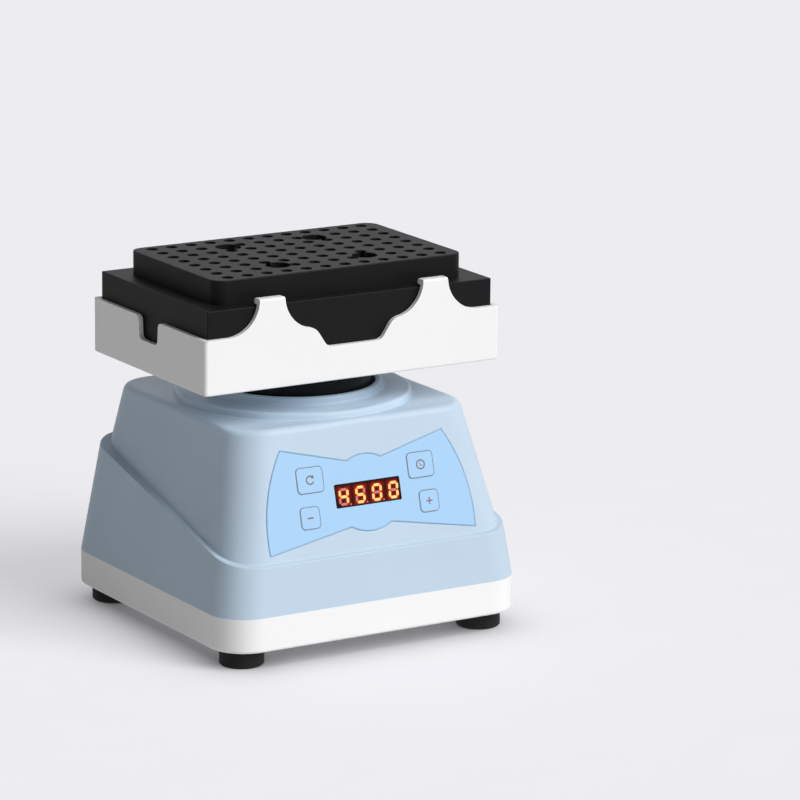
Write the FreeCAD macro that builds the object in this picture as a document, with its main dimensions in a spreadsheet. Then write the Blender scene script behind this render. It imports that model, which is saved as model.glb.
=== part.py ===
import FreeCAD, Part
import math
import os
import types
import Sketcher
from FreeCAD import Rotation, Vector

# Multi-tube vortex mixer at its real size, in millimetres.
# The origin is on the desk under the middle of the base. +Z is up, the control panel faces -Y
# and +X is on its right.

SIZES = {
    # Feet and the screws that close the base
    "foot_radius": 8.8,
    "foot_height": 7.4,
    "foot_chamfer": 0.7,
    "foot_inset_x": 13.5,
    "foot_inset_y": 14.0,
    "foot_seat_height": 3.5,
    "foot_screw_head_radius": 3.6,
    "foot_screw_head_height": 2.2,
    "foot_screw_radius": 2.0,
    "foot_screw_length": 24.0,
    "foot_recess_play": 0.6,
    "screw_play": 0.15,
    # Base pan
    "base_width": 135.0,
    "base_depth": 132.0,
    "base_corner": 15.0,
    "pan_height": 13.8,
    "pan_wall": 2.4,
    "pan_bottom_round": 1.2,
    "pan_boss_radius": 5.0,
    "pan_boss_height": 4.4,
    # Housing: leaning skirt, slanting ledge, upper body and deck
    "shell_wall": 2.2,
    "skirt_lean": 0.132,
    "ledge_front_height": 18.6,
    "ledge_rear_height": 47.6,
    "ledge_round": 1.1,
    "ledge_lap": 3.8,
    "upper_low_width": 128.1,
    "upper_low_front": 63.1,
    "upper_low_rear": 62.0,
    "upper_corner": 14.5,
    "deck_height": 68.8,
    "deck_width": 106.0,
    "deck_front": 48.0,
    "deck_rear": 55.0,
    "deck_round": 2.4,
    "post_radius": 4.5,
    # Raised rings of the deck
    "boss_radius": 46.7,
    "boss_height": 2.7,
    "boss_flare": 0.8,
    "boss_round": 1.4,
    "collar_wall": 3.0,
    "collar_height": 6.1,
    "collar_round": 1.4,
    "collar_foot_round": 1.2,
    # Control panel, measured on the leaning front face
    "panel_rise": 21.9,
    "panel_top_half": 36.5,
    "panel_top_rise": 40.2,
    "panel_crest_half": 7.7,
    "panel_crest_rise": 32.9,
    "panel_crest_radius": 15.8,
    "panel_side_radius": 63.9,
    "panel_bottom_half": 46.4,
    "panel_bottom_rise": 0.5,
    "panel_dip_half": 9.0,
    "panel_dip_rise": 7.3,
    "panel_dip_radius": 17.5,
    "panel_sheet": 0.5,
    "panel_proud": 0.1,
    "panel_play": 0.25,
    "display_width": 29.6,
    "display_height": 9.3,
    "display_corner": 0.6,
    "display_rise": 19.7,
    "display_play": 0.1,
    "display_frame_width": 30.8,
    "display_frame_height": 12.4,
    # Keys
    "wide_key_width": 12.0,
    "wide_key_height": 10.3,
    "wide_key_place": 25.0,
    "wide_key_rise": 27.5,
    "small_key_side": 8.8,
    "small_key_place": 26.9,
    "small_key_rise": 13.0,
    "key_corner": 1.8,
    "key_play": 0.3,
    "key_proud": 0.4,
    "key_travel": 0.5,
    "key_flange": 1.0,
    "key_flange_thickness": 0.8,
    "key_stem_radius": 1.5,
    # Control board
    "board_depth": 8.0,
    "board_thickness": 1.5,
    "board_half_width": 42.0,
    "board_low": 1.5,
    "board_high": 38.5,
    "board_post_radius": 2.4,
    "board_post_low_place": 38.5,
    "board_post_low_rise": 4.8,
    "board_post_high_place": 36.5,
    "board_post_high_rise": 35.0,
    "board_screw_radius": 1.1,
    "board_screw_head_radius": 2.1,
    "board_screw_head_height": 1.4,
    "board_screw_length": 6.0,
    "switch_side": 6.0,
    "switch_height": 3.5,
    # Drive: the motor axis stands behind the middle by the throw of the crank
    "crank_throw": 2.0,
    "ballast_width": 92.0,
    "ballast_thickness": 6.0,
    "ballast_corner": 5.0,
    "pillar_radius": 4.5,
    "pillar_place": 34.0,
    "small_screw_radius": 1.5,
    "small_screw_head_radius": 2.75,
    "small_screw_head_height": 1.6,
    "small_screw_grip": 7.0,
    "motor_plate_drop": 18.8,
    "motor_plate_thickness": 3.0,
    "motor_plate_width": 84.0,
    "motor_plate_corner": 6.0,
    "motor_radius": 19.0,
    "motor_length": 40.0,
    "motor_wall": 1.6,
    "motor_end_wall": 2.0,
    "motor_boss_wall": 2.0,
    "motor_screw_place": 9.0,
    "bearing_radius": 6.5,
    "bearing_height": 4.0,
    "bearing_lip": 1.5,
    "shaft_radius": 2.5,
    "shaft_hole_play": 0.7,
    "shaft_tail": 2.0,
    "running_play": 0.05,
    "stator_bore_radius": 11.0,
    "stator_length": 24.0,
    "air_gap": 0.6,
    "magnet_length": 22.0,
    # Eccentric hub with its crank pin and counterweight
    "hub_radius": 9.0,
    "hub_height": 8.0,
    "hub_gap": 3.5,
    "hub_roof": 1.0,
    "weight_radius": 15.0,
    "weight_height": 5.0,
    "weight_rise": 1.5,
    "set_screw_radius": 1.25,
    "set_screw_rise": 3.5,
    "pin_radius": 3.0,
    "pin_screw_head_radius": 4.5,
    "pin_screw_head_height": 1.8,
    "pin_screw_length": 6.0,
    "pin_screw_play": 0.3,
    # Drum of the shaking head, its bearing, circlip and flexible columns
    "drum_radius": 30.0,
    "drum_play": 0.5,
    "drum_wall": 5.0,
    "drum_roof": 5.0,
    "drum_dip": 4.0,
    "drum_boss_radius": 12.4,
    "drum_boss_gap": 4.0,
    "circlip_rise": 0.8,
    "circlip_thickness": 1.0,
    "circlip_bite": 0.8,
    "circlip_width": 2.0,
    "circlip_opening": 5.0,
    "head_bearing_radius": 9.5,
    "head_bearing_height": 6.0,
    "head_bearing_ring": 1.6,
    "head_bearing_shield_depth": 0.3,
    "drum_relief_radius": 7.0,
    "drum_relief_height": 4.2,
    "column_place": 13.8,
    "column_radius": 1.6,
    "column_play": 0.3,
    "column_boss_radius": 3.6,
    "column_boss_height": 12.4,
    # Tray
    "tray_gap": 9.3,
    "tray_wall": 2.0,
    "tray_corner": 1.5,
    "tray_bottom_round": 0.8,
    "tray_wall_height": 21.8,
    "tab_height": 35.6,
    "tab_outer": 42.3,
    "tab_width": 11.2,
    "tab_round": 1.2,
    "lip_reach": 2.4,
    "lip_thickness": 2.2,
    "lip_round": 1.0,
    "shoulder_height": 22.0,
    "shoulder_round": 3.0,
    "notch_height": 13.85,
    "notch_half_width": 12.2,
    "notch_round": 2.0,
    "side_notch_height": 12.5,
    "side_notch_half_top": 8.0,
    "side_notch_half_bottom": 7.3,
    "side_notch_round": 2.6,
    "tray_screw_place_x": 19.6,
    "tray_screw_place_y": 19.5,
    "tray_screw_head_radius": 2.9,
    "tray_screw_head_height": 1.7,
    "tray_screw_length": 10.0,
    # Rack
    "rack_play": 0.42,
    "rack_width": 127.76,
    "rack_depth": 85.48,
    "rack_base_height": 30.5,
    "rack_top_width": 112.0,
    "rack_top_depth": 70.5,
    "rack_top_height": 9.5,
    "rack_top_corner": 5.5,
    "rack_top_chamfer": 0.5,
    "well_depth": 14.0,
    "well_margin": 1.2,
    "well_corner": 3.0,
    "clip_channel_play": 0.3,
    "tube_columns": 12,
    "tube_rows": 8,
    "tube_pitch_x": 8.73,
    "tube_pitch_y": 8.6,
    "tube_hole_radius": 2.3,
    "access_hole_radius": 5.0,
    # Rear recess with power socket and rocker switch
    "recess_width": 48.0,
    "recess_height": 28.0,
    "recess_rise": 7.0,
    "recess_floor": 56.0,
    "recess_wall": 2.2,
    "socket_place": 12.0,
    "socket_flange_radius": 6.5,
    "socket_flange_thickness": 1.5,
    "socket_radius": 5.2,
    "socket_length": 12.0,
    "socket_bore_radius": 3.2,
    "socket_bore_depth": 9.0,
    "socket_pin_radius": 1.0,
    "socket_pin_setback": 0.5,
    "rocker_place": 11.0,
    "rocker_flange_width": 15.0,
    "rocker_flange_height": 21.0,
    "rocker_flange_thickness": 2.0,
    "rocker_body_width": 12.6,
    "rocker_body_height": 18.8,
    "rocker_body_depth": 13.0,
    "rocker_pocket_width": 11.4,
    "rocker_pocket_height": 17.4,
    "rocker_pocket_depth": 8.0,
    "rocker_side_play": 0.3,
    "rocker_half_length": 7.6,
    "rocker_end_height": 4.9,
    "rocker_valley": 3.4,
    "rocker_end_low": 1.5,
    "rocker_belly_half": 4.0,
    "rocker_belly_depth": 3.2,
    "rocker_pivot_depth": 3.4,
    "rocker_pin_radius": 1.2,
    "rocker_pin_play": 0.08,
    "rocker_tilt": 10.0,
    # Driver board on the ballast plate
    "driver_width": 56.0,
    "driver_depth": 20.0,
    "driver_thickness": 1.6,
    "driver_place": 36.0,
    "driver_standoff_height": 5.0,
    "driver_standoff_radius": 2.5,
    "driver_standoff_inset": 3.0,
    "capacitor_radius": 5.0,
    "capacitor_height": 13.0,
    "capacitor_place": 17.0,
    "sink_width": 16.0,
    "sink_depth": 8.0,
    "sink_height": 12.0,
    "plug_width": 9.0,
    "plug_depth": 6.0,
    "plug_height": 6.0,
    "plug_place": 18.0,
}


class Size:
    """A number together with the sheet expression that gives it."""

    def __init__(self, number, text):
        self.number = number
        self.text = text

    def __add__(self, other):
        other = size(other)
        return Size(self.number + other.number, f"({self.text} + {other.text})")

    def __sub__(self, other):
        other = size(other)
        return Size(self.number - other.number, f"({self.text} - {other.text})")

    def __mul__(self, other):
        other = size(other)
        return Size(self.number * other.number, f"({self.text} * {other.text})")

    def __truediv__(self, other):
        other = size(other)
        return Size(self.number / other.number, f"({self.text} / {other.text})")

    def __neg__(self):
        return self * -1

    def __radd__(self, other):
        return size(other) + self

    def __rsub__(self, other):
        return size(other) - self

    def __rmul__(self, other):
        return size(other) * self


def size(amount):
    if isinstance(amount, Size):
        return amount
    return Size(float(amount), repr(float(amount)))


def root(amount):
    return Size(math.sqrt(amount.number), f"sqrt({amount.text})")


def slant_angle(run, rise):
    """Degrees from the vertical of a slope with this run and rise."""
    degrees = math.degrees(math.atan2(run.number, rise.number))
    return Size(degrees, f"(atan2({run.text}; {rise.text}) / (1 deg))")


def bind(item, path, amount):
    item.setExpression(path, size(amount).text)


# The document and its sheet of sizes
document = FreeCAD.newDocument("vortex_mixer")
sheet = document.addObject("Spreadsheet::Sheet", "sizes")
for row, (alias, amount) in enumerate(SIZES.items(), start=1):
    sheet.set(f"A{row}", alias.replace("_", " "))
    sheet.set(f"B{row}", str(amount))
    sheet.setAlias(f"B{row}", alias)
document.recompute()
S = types.SimpleNamespace()
for alias, amount in SIZES.items():
    setattr(S, alias, Size(float(amount), f"sizes.{alias}"))

# Points closer than this count as the same
SAME = 0.01


# Drawing helpers
def constrain(sketch, kind, places, amount):
    index = sketch.addConstraint(Sketcher.Constraint(kind, *places, size(amount).number))
    bind(sketch, f"Constraints[{index}]", amount)


def constrain_point(sketch, edge, place, x, y):
    constrain(sketch, "DistanceX", (-1, 1, edge, place), x)
    constrain(sketch, "DistanceY", (-1, 1, edge, place), y)


def arc(start, end, radius, turn):
    """The shorter arc from start to end: turn 1 is anticlockwise, -1 is clockwise."""
    chord = end - start
    side = Vector(-chord.y, chord.x, 0) / chord.Length * turn
    middle = (start + end) / 2 + side * math.sqrt(radius ** 2 - (chord.Length / 2) ** 2)
    first, last = (start, end) if turn > 0 else (end, start)
    angles = [math.atan2(p.y - middle.y, p.x - middle.x) for p in (first, last)]
    return Part.ArcOfCircle(Part.Circle(middle, Vector(0, 0, 1), radius), *angles)


def draw_outline(sketch, corners):
    """Closed outline. A corner (x, y) starts a straight run, (x, y, radius, turn) starts an arc."""
    heads = []
    tails = []
    for here, there in zip(corners, corners[1:] + corners[:1]):
        start, end = (Vector(size(c[0]).number, size(c[1]).number, 0) for c in (here, there))
        if len(here) == 2:
            edge = sketch.addGeometry(Part.LineSegment(start, end), False)
            ends = [(edge, 1), (edge, 2)]
        else:
            radius, turn = here[2:]
            edge = sketch.addGeometry(arc(start, end, size(radius).number, turn), False)
            ends = [(edge, 1), (edge, 2)][::turn]
            constrain(sketch, "Radius", (edge,), radius)
        heads.append(ends[0])
        tails.append(ends[1])
    for tail, head in zip(tails, heads[1:] + heads[:1]):
        sketch.addConstraint(Sketcher.Constraint("Coincident", *tail, *head))
    for head, corner in zip(heads, corners):
        constrain_point(sketch, *head, corner[0], corner[1])


def draw_circle(sketch, x, y, radius):
    centre = Vector(size(x).number, size(y).number, 0)
    edge = sketch.addGeometry(Part.Circle(centre, Vector(0, 0, 1), size(radius).number), False)
    constrain(sketch, "Radius", (edge,), radius)
    constrain_point(sketch, edge, 3, x, y)


def rectangle(left, front, right, rear):
    return [(left, front), (right, front), (right, rear), (left, rear)]


def rounded(left, front, right, rear, radius):
    """Rectangle with its corners rounded, drawn anticlockwise."""
    return [
        (left + radius, front),
        (right - radius, front, radius, 1),
        (right, front + radius),
        (right, rear - radius, radius, 1),
        (right - radius, rear),
        (left + radius, rear, radius, 1),
        (left, rear - radius),
        (left, front + radius, radius, 1),
    ]


def centred(width, depth, radius, x=0, y=0):
    return rounded(x - width / 2, y - depth / 2, x + width / 2, y + depth / 2, radius)


def ring_profile(inner, outer, low, high):
    return rectangle(inner, low, outer, high)


# Feature helpers
def new_body(label):
    item = document.addObject("PartDesign::Body", label)
    item.Label = label
    return item


def new_sketch(owner, label, plane, offset=0):
    item = owner.newObject("Sketcher::SketchObject", label)
    support = next(f for f in owner.Origin.OriginFeatures if f.Role == plane)
    item.AttachmentSupport = (support, [""])
    item.MapMode = "FlatFace"
    bind(item, "AttachmentOffset.Base.z", offset)
    return item


def sketch_of(owner, label, plane, offset, *outlines):
    item = new_sketch(owner, label, plane, offset)
    for corners in outlines:
        draw_outline(item, corners)
    return item


def pad(owner, label, profile, length, both_ways=False):
    item = owner.newObject("PartDesign::Pad", label)
    item.Profile = (profile, [""])
    item.SideType = "Symmetric" if both_ways else "One side"
    bind(item, "Length", length)
    return item


def pocket(owner, label, profile, length, both_ways=False):
    """Cut against the sketch's normal, or both ways from it."""
    item = owner.newObject("PartDesign::Pocket", label)
    item.Profile = (profile, [""])
    item.SideType = "Symmetric" if both_ways else "One side"
    bind(item, "Length", length)
    return item


def revolve(owner, label, profile):
    item = owner.newObject("PartDesign::Revolution", label)
    item.Profile = (profile, [""])
    item.ReferenceAxis = (profile, ["V_Axis"])
    item.Angle = 360
    return item


def loft(owner, label, low, high):
    item = owner.newObject("PartDesign::AdditiveLoft", label)
    item.Profile = (low, [""])
    item.Sections = [(high, [""])]
    item.Ruled = True
    return item


def edge_names(feature, test, run=None):
    """Names of the edges whose end points all pass the test. They run along an axis if one is given."""
    document.recompute()
    names = []
    for number, edge in enumerate(feature.Shape.Edges, start=1):
        points = [vertex.Point for vertex in edge.Vertexes]
        runs = run is None or abs(getattr(points[0] - points[-1], run)) > SAME
        if runs and all(test(p) for p in points):
            names.append(f"Edge{number}")
    return names


def fillet(owner, label, feature, radius, test, run=None):
    item = owner.newObject("PartDesign::Fillet", label)
    item.Base = (feature, edge_names(feature, test, run))
    bind(item, "Radius", radius)
    return item


def near(value, amount):
    return abs(value - size(amount).number) < SAME


def place(item, x=0, y=0, z=0):
    for axis, amount in zip("xyz", (x, y, z)):
        bind(item, f"Placement.Base.{axis}", amount)
    return item


def turned(label, profile, x=0, y=0, z=0):
    """Turned piece: the profile holds radius and height."""
    owner = new_body(label)
    revolve(owner, f"{label}_turn", sketch_of(owner, f"{label}_profile", "XZ_Plane", 0, profile))
    return place(owner, x, y, z)


def plate(label, corners, low, high):
    """Flat piece of one outline between two heights."""
    owner = new_body(label)
    pad(owner, f"{label}_pad", sketch_of(owner, f"{label}_outline", "XY_Plane", low, corners), high - low)
    return owner


def cylinder(label, radius, x, y, low, high):
    item = document.addObject("Part::Cylinder", label)
    bind(item, "Radius", radius)
    bind(item, "Height", high - low)
    return place(item, x, y, low)


def block(label, left, front, low, right, rear, high):
    item = document.addObject("Part::Box", label)
    bind(item, "Length", right - left)
    bind(item, "Width", rear - front)
    bind(item, "Height", high - low)
    return place(item, left, front, low)


def fuse(label, *items):
    item = document.addObject("Part::MultiFuse", label)
    item.Shapes = list(items)
    return item


def common(label, base, tool):
    item = document.addObject("Part::Common", label)
    item.Base = base
    item.Tool = tool
    return item


def cut(label, base, *tools):
    item = document.addObject("Part::Cut", label)
    item.Base = base
    item.Tool = tools[0] if len(tools) == 1 else fuse(f"{label}_cutters", *tools)
    return item


def group(label, *items):
    item = document.addObject("Part::Compound", label)
    item.Links = list(items)
    return item


def screw_profile(radius, length, head_radius, head_height):
    """Screw that points down from its seat at height zero."""
    return [
        (0, -length),
        (radius, -length),
        (radius, 0),
        (head_radius, 0),
        (head_radius, head_height),
        (0, head_height),
    ]


SIDES = (("left", -1), ("right", 1))
CORNERS = [(f"{end}_{side}", x, y) for end, y in (("front", -1), ("rear", 1)) for side, x in SIDES]

# Levels above the desk
pan_bottom = S.foot_height
pan_floor = pan_bottom + S.pan_wall
pan_boss_top = pan_floor + S.pan_boss_height
shell_bottom = pan_bottom + S.pan_height
deck_top = shell_bottom + S.deck_height
deck_under = deck_top - S.shell_wall
upper_low = shell_bottom + S.ledge_front_height - S.ledge_lap
collar_top = deck_top + S.collar_height
ballast_top = pan_floor + S.ballast_thickness
motor_plate_top = deck_under - S.motor_plate_drop
motor_plate_under = motor_plate_top - S.motor_plate_thickness
motor_bottom = motor_plate_under - S.motor_length
hub_bottom = motor_plate_top + S.hub_gap
hub_top = hub_bottom + S.hub_height
drum_boss_bottom = hub_top + S.drum_boss_gap
circlip_bottom = drum_boss_bottom + S.circlip_rise
head_bearing_bottom = circlip_bottom + S.circlip_thickness
head_bearing_top = head_bearing_bottom + S.head_bearing_height
pin_top = head_bearing_top + S.pin_screw_play
tray_bottom = collar_top + S.tray_gap
tray_floor = tray_bottom + S.tray_wall
rack_shoulder = tray_floor + S.rack_base_height
rack_top_level = rack_shoulder + S.rack_top_height

# The motor axis, and the radius of the hole in the collar that the orbiting drum needs
axis_y = S.crank_throw
collar_bore = S.drum_radius + S.crank_throw + S.drum_play

# The leaning front face: its slope and the point where the panel's measures start
face_run = S.upper_low_front - S.deck_front
face_rise = deck_top - upper_low
face_length = root(face_run * face_run + face_rise * face_rise)
face_angle = slant_angle(face_run, face_rise)
face_up_y = face_run / face_length
face_up_z = face_rise / face_length
panel_z = shell_bottom + S.panel_rise
panel_y = (panel_z - upper_low) * face_run / face_rise - S.upper_low_front
face_wall = S.shell_wall * face_up_z
way_depth = 2 * face_wall


def on_face(item, across=0, up=0, out=0):
    """Seat a piece on the front face: its own X runs across, Y up the face and Z out of it."""
    item.Placement.Rotation = Rotation(Vector(1, 0, 0), 90 - face_angle.number)
    bind(item, "Placement.Rotation.Angle", 90 - face_angle)
    y = panel_y + up * face_up_y - out * face_up_z
    z = panel_z + up * face_up_z + out * face_up_y
    return place(item, across, y, z)


# Feet and base pan
def foot_places():
    """Corner names of the base, each with the middle of its foot."""
    across = S.base_width / 2 - S.foot_inset_x
    back = S.base_depth / 2 - S.foot_inset_y
    return [(corner, x * across, y * back) for corner, x, y in CORNERS]


def feet():
    recess = S.foot_screw_head_radius + S.foot_recess_play
    bore = S.foot_screw_radius + S.screw_play
    profile = [
        (bore, S.foot_seat_height),
        (recess, S.foot_seat_height),
        (recess, 0),
        (S.foot_radius - S.foot_chamfer, 0),
        (S.foot_radius, S.foot_chamfer),
        (S.foot_radius, S.foot_height),
        (bore, S.foot_height),
    ]
    head_down = [
        (0, -S.foot_screw_head_height),
        (S.foot_screw_head_radius, -S.foot_screw_head_height),
        (S.foot_screw_head_radius, 0),
        (S.foot_screw_radius, 0),
        (S.foot_screw_radius, S.foot_screw_length),
        (0, S.foot_screw_length),
    ]
    pieces = []
    for corner, x, y in foot_places():
        pieces.append(turned(f"foot_{corner}", profile, x, y))
        pieces.append(turned(f"foot_screw_{corner}", head_down, x, y, S.foot_seat_height))
    return pieces


def pillar_places():
    return [(x * S.pillar_place, axis_y + y * S.pillar_place) for _, x, y in CORNERS]


def base_pan():
    owner = new_body("base_pan")
    outline = centred(S.base_width, S.base_depth, S.base_corner)
    outer = sketch_of(owner, "pan_outline", "XY_Plane", pan_bottom, outline)
    outside = pad(owner, "pan_block", outer, S.pan_height)
    fillet(owner, "pan_bottom_edge", outside, S.pan_bottom_round, lambda p: near(p.z, pan_bottom))
    wall = S.pan_wall
    inside = centred(S.base_width - 2 * wall, S.base_depth - 2 * wall, S.base_corner - wall)
    hollow = sketch_of(owner, "pan_inside", "XY_Plane", shell_bottom, inside)
    pocket(owner, "pan_hollow", hollow, S.pan_height - S.pan_wall)
    bosses = new_sketch(owner, "pan_boss_circles", "XY_Plane", pan_floor)
    holes = new_sketch(owner, "pan_foot_holes", "XY_Plane", pan_boss_top)
    for _, x, y in foot_places():
        draw_circle(bosses, x, y, S.pan_boss_radius)
        draw_circle(holes, x, y, S.foot_screw_radius + S.screw_play)
    pad(owner, "pan_bosses", bosses, S.pan_boss_height)
    pocket(owner, "pan_foot_hole_cut", holes, S.pan_wall + S.pan_boss_height)
    shanks = new_sketch(owner, "pan_pillar_holes", "XY_Plane", pan_floor)
    heads = new_sketch(owner, "pan_head_sinks", "XY_Plane", pan_bottom + S.small_screw_head_height)
    for x, y in pillar_places():
        draw_circle(shanks, x, y, S.small_screw_radius + S.screw_play)
        draw_circle(heads, x, y, S.small_screw_head_radius + S.screw_play)
    pocket(owner, "pan_pillar_hole_cut", shanks, S.pan_wall)
    pocket(owner, "pan_head_sink_cut", heads, S.small_screw_head_height)
    return owner


# Housing shell
def ledge_level(y):
    """Height of the slanting ledge at this distance behind the middle."""
    slope = (S.ledge_rear_height - S.ledge_front_height) / S.base_depth
    return shell_bottom + S.ledge_front_height + slope * (y + S.base_depth / 2)


def upper_section(level, inset):
    """Outline of the upper body at a level, drawn in by the inset."""
    part = (level - upper_low) / face_rise
    width = S.upper_low_width - part * (S.upper_low_width - S.deck_width) - 2 * inset
    front = S.upper_low_front - part * (S.upper_low_front - S.deck_front) - inset
    rear = S.upper_low_rear - part * (S.upper_low_rear - S.deck_rear) - inset
    return rounded(-width / 2, -front, width / 2, rear, S.upper_corner - inset)


def skirt_form(label, inset):
    """The leaning skirt, cut off along the ledge. An inset gives the hollow inside it."""
    owner = new_body(label)
    height = S.ledge_rear_height + S.ledge_lap
    lean = S.skirt_lean * height
    corner = S.base_corner - inset
    low = centred(S.base_width - 2 * inset, S.base_depth - 2 * inset, corner)
    high = centred(S.base_width - 2 * (inset + lean), S.base_depth - 2 * (inset + lean), corner)
    low_sketch = sketch_of(owner, f"{label}_low", "XY_Plane", shell_bottom, low)
    high_sketch = sketch_of(owner, f"{label}_high", "XY_Plane", shell_bottom + height, high)
    loft(owner, f"{label}_skirt", low_sketch, high_sketch)
    reach = S.base_depth
    above = [
        (-reach, ledge_level(-reach) - inset),
        (reach, ledge_level(reach) - inset),
        (reach, ledge_level(reach) + deck_top),
        (-reach, ledge_level(reach) + deck_top),
    ]
    side = sketch_of(owner, f"{label}_above_ledge", "YZ_Plane", 0, above)
    return owner, pocket(owner, f"{label}_ledge_cut", side, 2 * S.base_width, both_ways=True)


def add_upper(owner, label, top, inset):
    low = sketch_of(owner, f"{label}_upper_low", "XY_Plane", upper_low, upper_section(upper_low, inset))
    high = sketch_of(owner, f"{label}_upper_high", "XY_Plane", top, upper_section(top, inset))
    return loft(owner, f"{label}_upper", low, high)


def deck_rings():
    """Low boss with a rounded shoulder and, inside it, the collar round the drum."""
    outer = collar_bore + S.collar_wall
    boss = deck_top + S.boss_height
    round_in = S.boss_radius - S.boss_round
    profile = [
        (collar_bore, deck_under),
        (S.boss_radius + S.boss_flare, deck_under),
        (S.boss_radius + S.boss_flare, deck_top),
        (S.boss_radius, boss - S.boss_round, S.boss_round, 1),
        (round_in, boss),
        (outer + S.collar_foot_round, boss, S.collar_foot_round, -1),
        (outer, boss + S.collar_foot_round),
        (outer, collar_top - S.collar_round, S.collar_round, 1),
        (outer - S.collar_round, collar_top),
        (collar_bore + S.collar_round, collar_top, S.collar_round, 1),
        (collar_bore, collar_top - S.collar_round),
    ]
    return turned("deck_rings", profile, 0, axis_y)


def on_ledge(point):
    return near(point.z, ledge_level(size(point.y)))


def housing_form():
    owner, ledge = skirt_form("housing_form", 0)
    fillet(owner, "ledge_edge", ledge, S.ledge_round, on_ledge)
    upper = add_upper(owner, "housing", deck_top, 0)
    fillet(owner, "deck_edge", upper, S.deck_round, lambda p: near(p.z, deck_top))
    return owner


def housing_hollow():
    owner, _ = skirt_form("housing_hollow", S.shell_wall)
    add_upper(owner, "hollow", deck_under, S.shell_wall)
    return owner


def foot_posts(form):
    """Posts over the feet: free below, and running into the leaning walls above."""
    lower = []
    upper = []
    for corner, x, y in foot_places():
        lower.append(cylinder(f"post_low_{corner}", S.post_radius, x, y, pan_boss_top, shell_bottom))
        upper.append(cylinder(f"post_high_{corner}", S.post_radius, x, y, shell_bottom, deck_under))
    return lower + [common("posts_in_form", fuse("posts_high", *upper), form)]


KEYS = ("cycle", "timer", "minus", "plus")


def key_box(name):
    """Left, low, right and high sides of a key on the front face, and the key's middle."""
    side = -1 if name in ("cycle", "minus") else 1
    if name in ("cycle", "timer"):
        across, up, width, height = S.wide_key_place, S.wide_key_rise, S.wide_key_width, S.wide_key_height
    else:
        across, up, width, height = S.small_key_place, S.small_key_rise, S.small_key_side, S.small_key_side
    middle = (side * across, up)
    box = (middle[0] - width / 2, up - height / 2, middle[0] + width / 2, up + height / 2)
    return box, middle


def key_outline(name, margin):
    left, low, right, high = key_box(name)[0]
    return rounded(left - margin, low - margin, right + margin, high + margin, S.key_corner + margin)


def display_outline(margin):
    width = S.display_width + 2 * margin
    height = S.display_height + 2 * margin
    return centred(width, height, S.display_corner + margin, 0, S.display_rise)


def panel_outline():
    return [
        (S.panel_top_half, S.panel_top_rise),
        (S.panel_crest_half, S.panel_crest_rise, S.panel_crest_radius, 1),
        (-S.panel_crest_half, S.panel_crest_rise),
        (-S.panel_top_half, S.panel_top_rise, S.panel_side_radius, 1),
        (-S.panel_bottom_half, S.panel_bottom_rise),
        (-S.panel_dip_half, S.panel_dip_rise, S.panel_dip_radius, 1),
        (S.panel_dip_half, S.panel_dip_rise),
        (S.panel_bottom_half, S.panel_bottom_rise, S.panel_side_radius, 1),
    ]


def panel_recess():
    """Shallow seat for the panel sheet, a little wider than the sheet all round."""
    lines = document.addObject("Sketcher::SketchObject", "panel_lines")
    draw_outline(lines, panel_outline())
    wider = document.addObject("Part::Offset2D", "panel_lines_wider")
    wider.Source = lines
    wider.Join = "Intersection"
    bind(wider, "Value", S.panel_play)
    seat = document.addObject("Part::Extrusion", "panel_recess")
    seat.Base = wider
    seat.DirMode = "Custom"
    seat.Dir = Vector(0, 0, 1)
    seat.Solid = True
    depth = S.panel_sheet - S.panel_proud
    bind(seat, "LengthFwd", depth + S.panel_sheet)
    return on_face(seat, out=-depth)


def board_post_places():
    low = [(x * S.board_post_low_place, S.board_post_low_rise) for _, x in SIDES]
    high = [(x * S.board_post_high_place, S.board_post_high_rise) for _, x in SIDES]
    return low + high


def board_posts():
    posts = []
    for number, (across, up) in enumerate(board_post_places(), start=1):
        length = S.board_depth - face_wall / 2
        post = cylinder(f"board_post_{number}", S.board_post_radius, 0, 0, 0, length)
        posts.append(on_face(post, across, up, -S.board_depth))
    return posts


recess_left = -S.recess_width / 2
recess_right = S.recess_width / 2
recess_low = shell_bottom + S.recess_rise
recess_high = recess_low + S.recess_height
recess_middle = (recess_low + recess_high) / 2


def recess_block(form):
    wall = S.recess_wall
    body = block(
        "recess_block", recess_left - wall, S.recess_floor - wall, recess_low - wall,
        recess_right + wall, S.base_depth / 2, recess_high + wall,
    )
    return common("recess_walls", body, form)


def rear_cylinder(label, radius, x, depth):
    """Cylinder from a depth behind the recess floor out to the rear, along Y."""
    item = cylinder(label, radius, 0, 0, 0, depth + S.base_depth / 2)
    item.Placement.Rotation = Rotation(Vector(1, 0, 0), -90)
    return place(item, x, S.recess_floor - depth, recess_middle)


def switch_box(label, width, height, front, rear):
    middle = -S.rocker_place
    return block(
        label, middle - width / 2, front, recess_middle - height / 2,
        middle + width / 2, rear, recess_middle + height / 2,
    )


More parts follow.
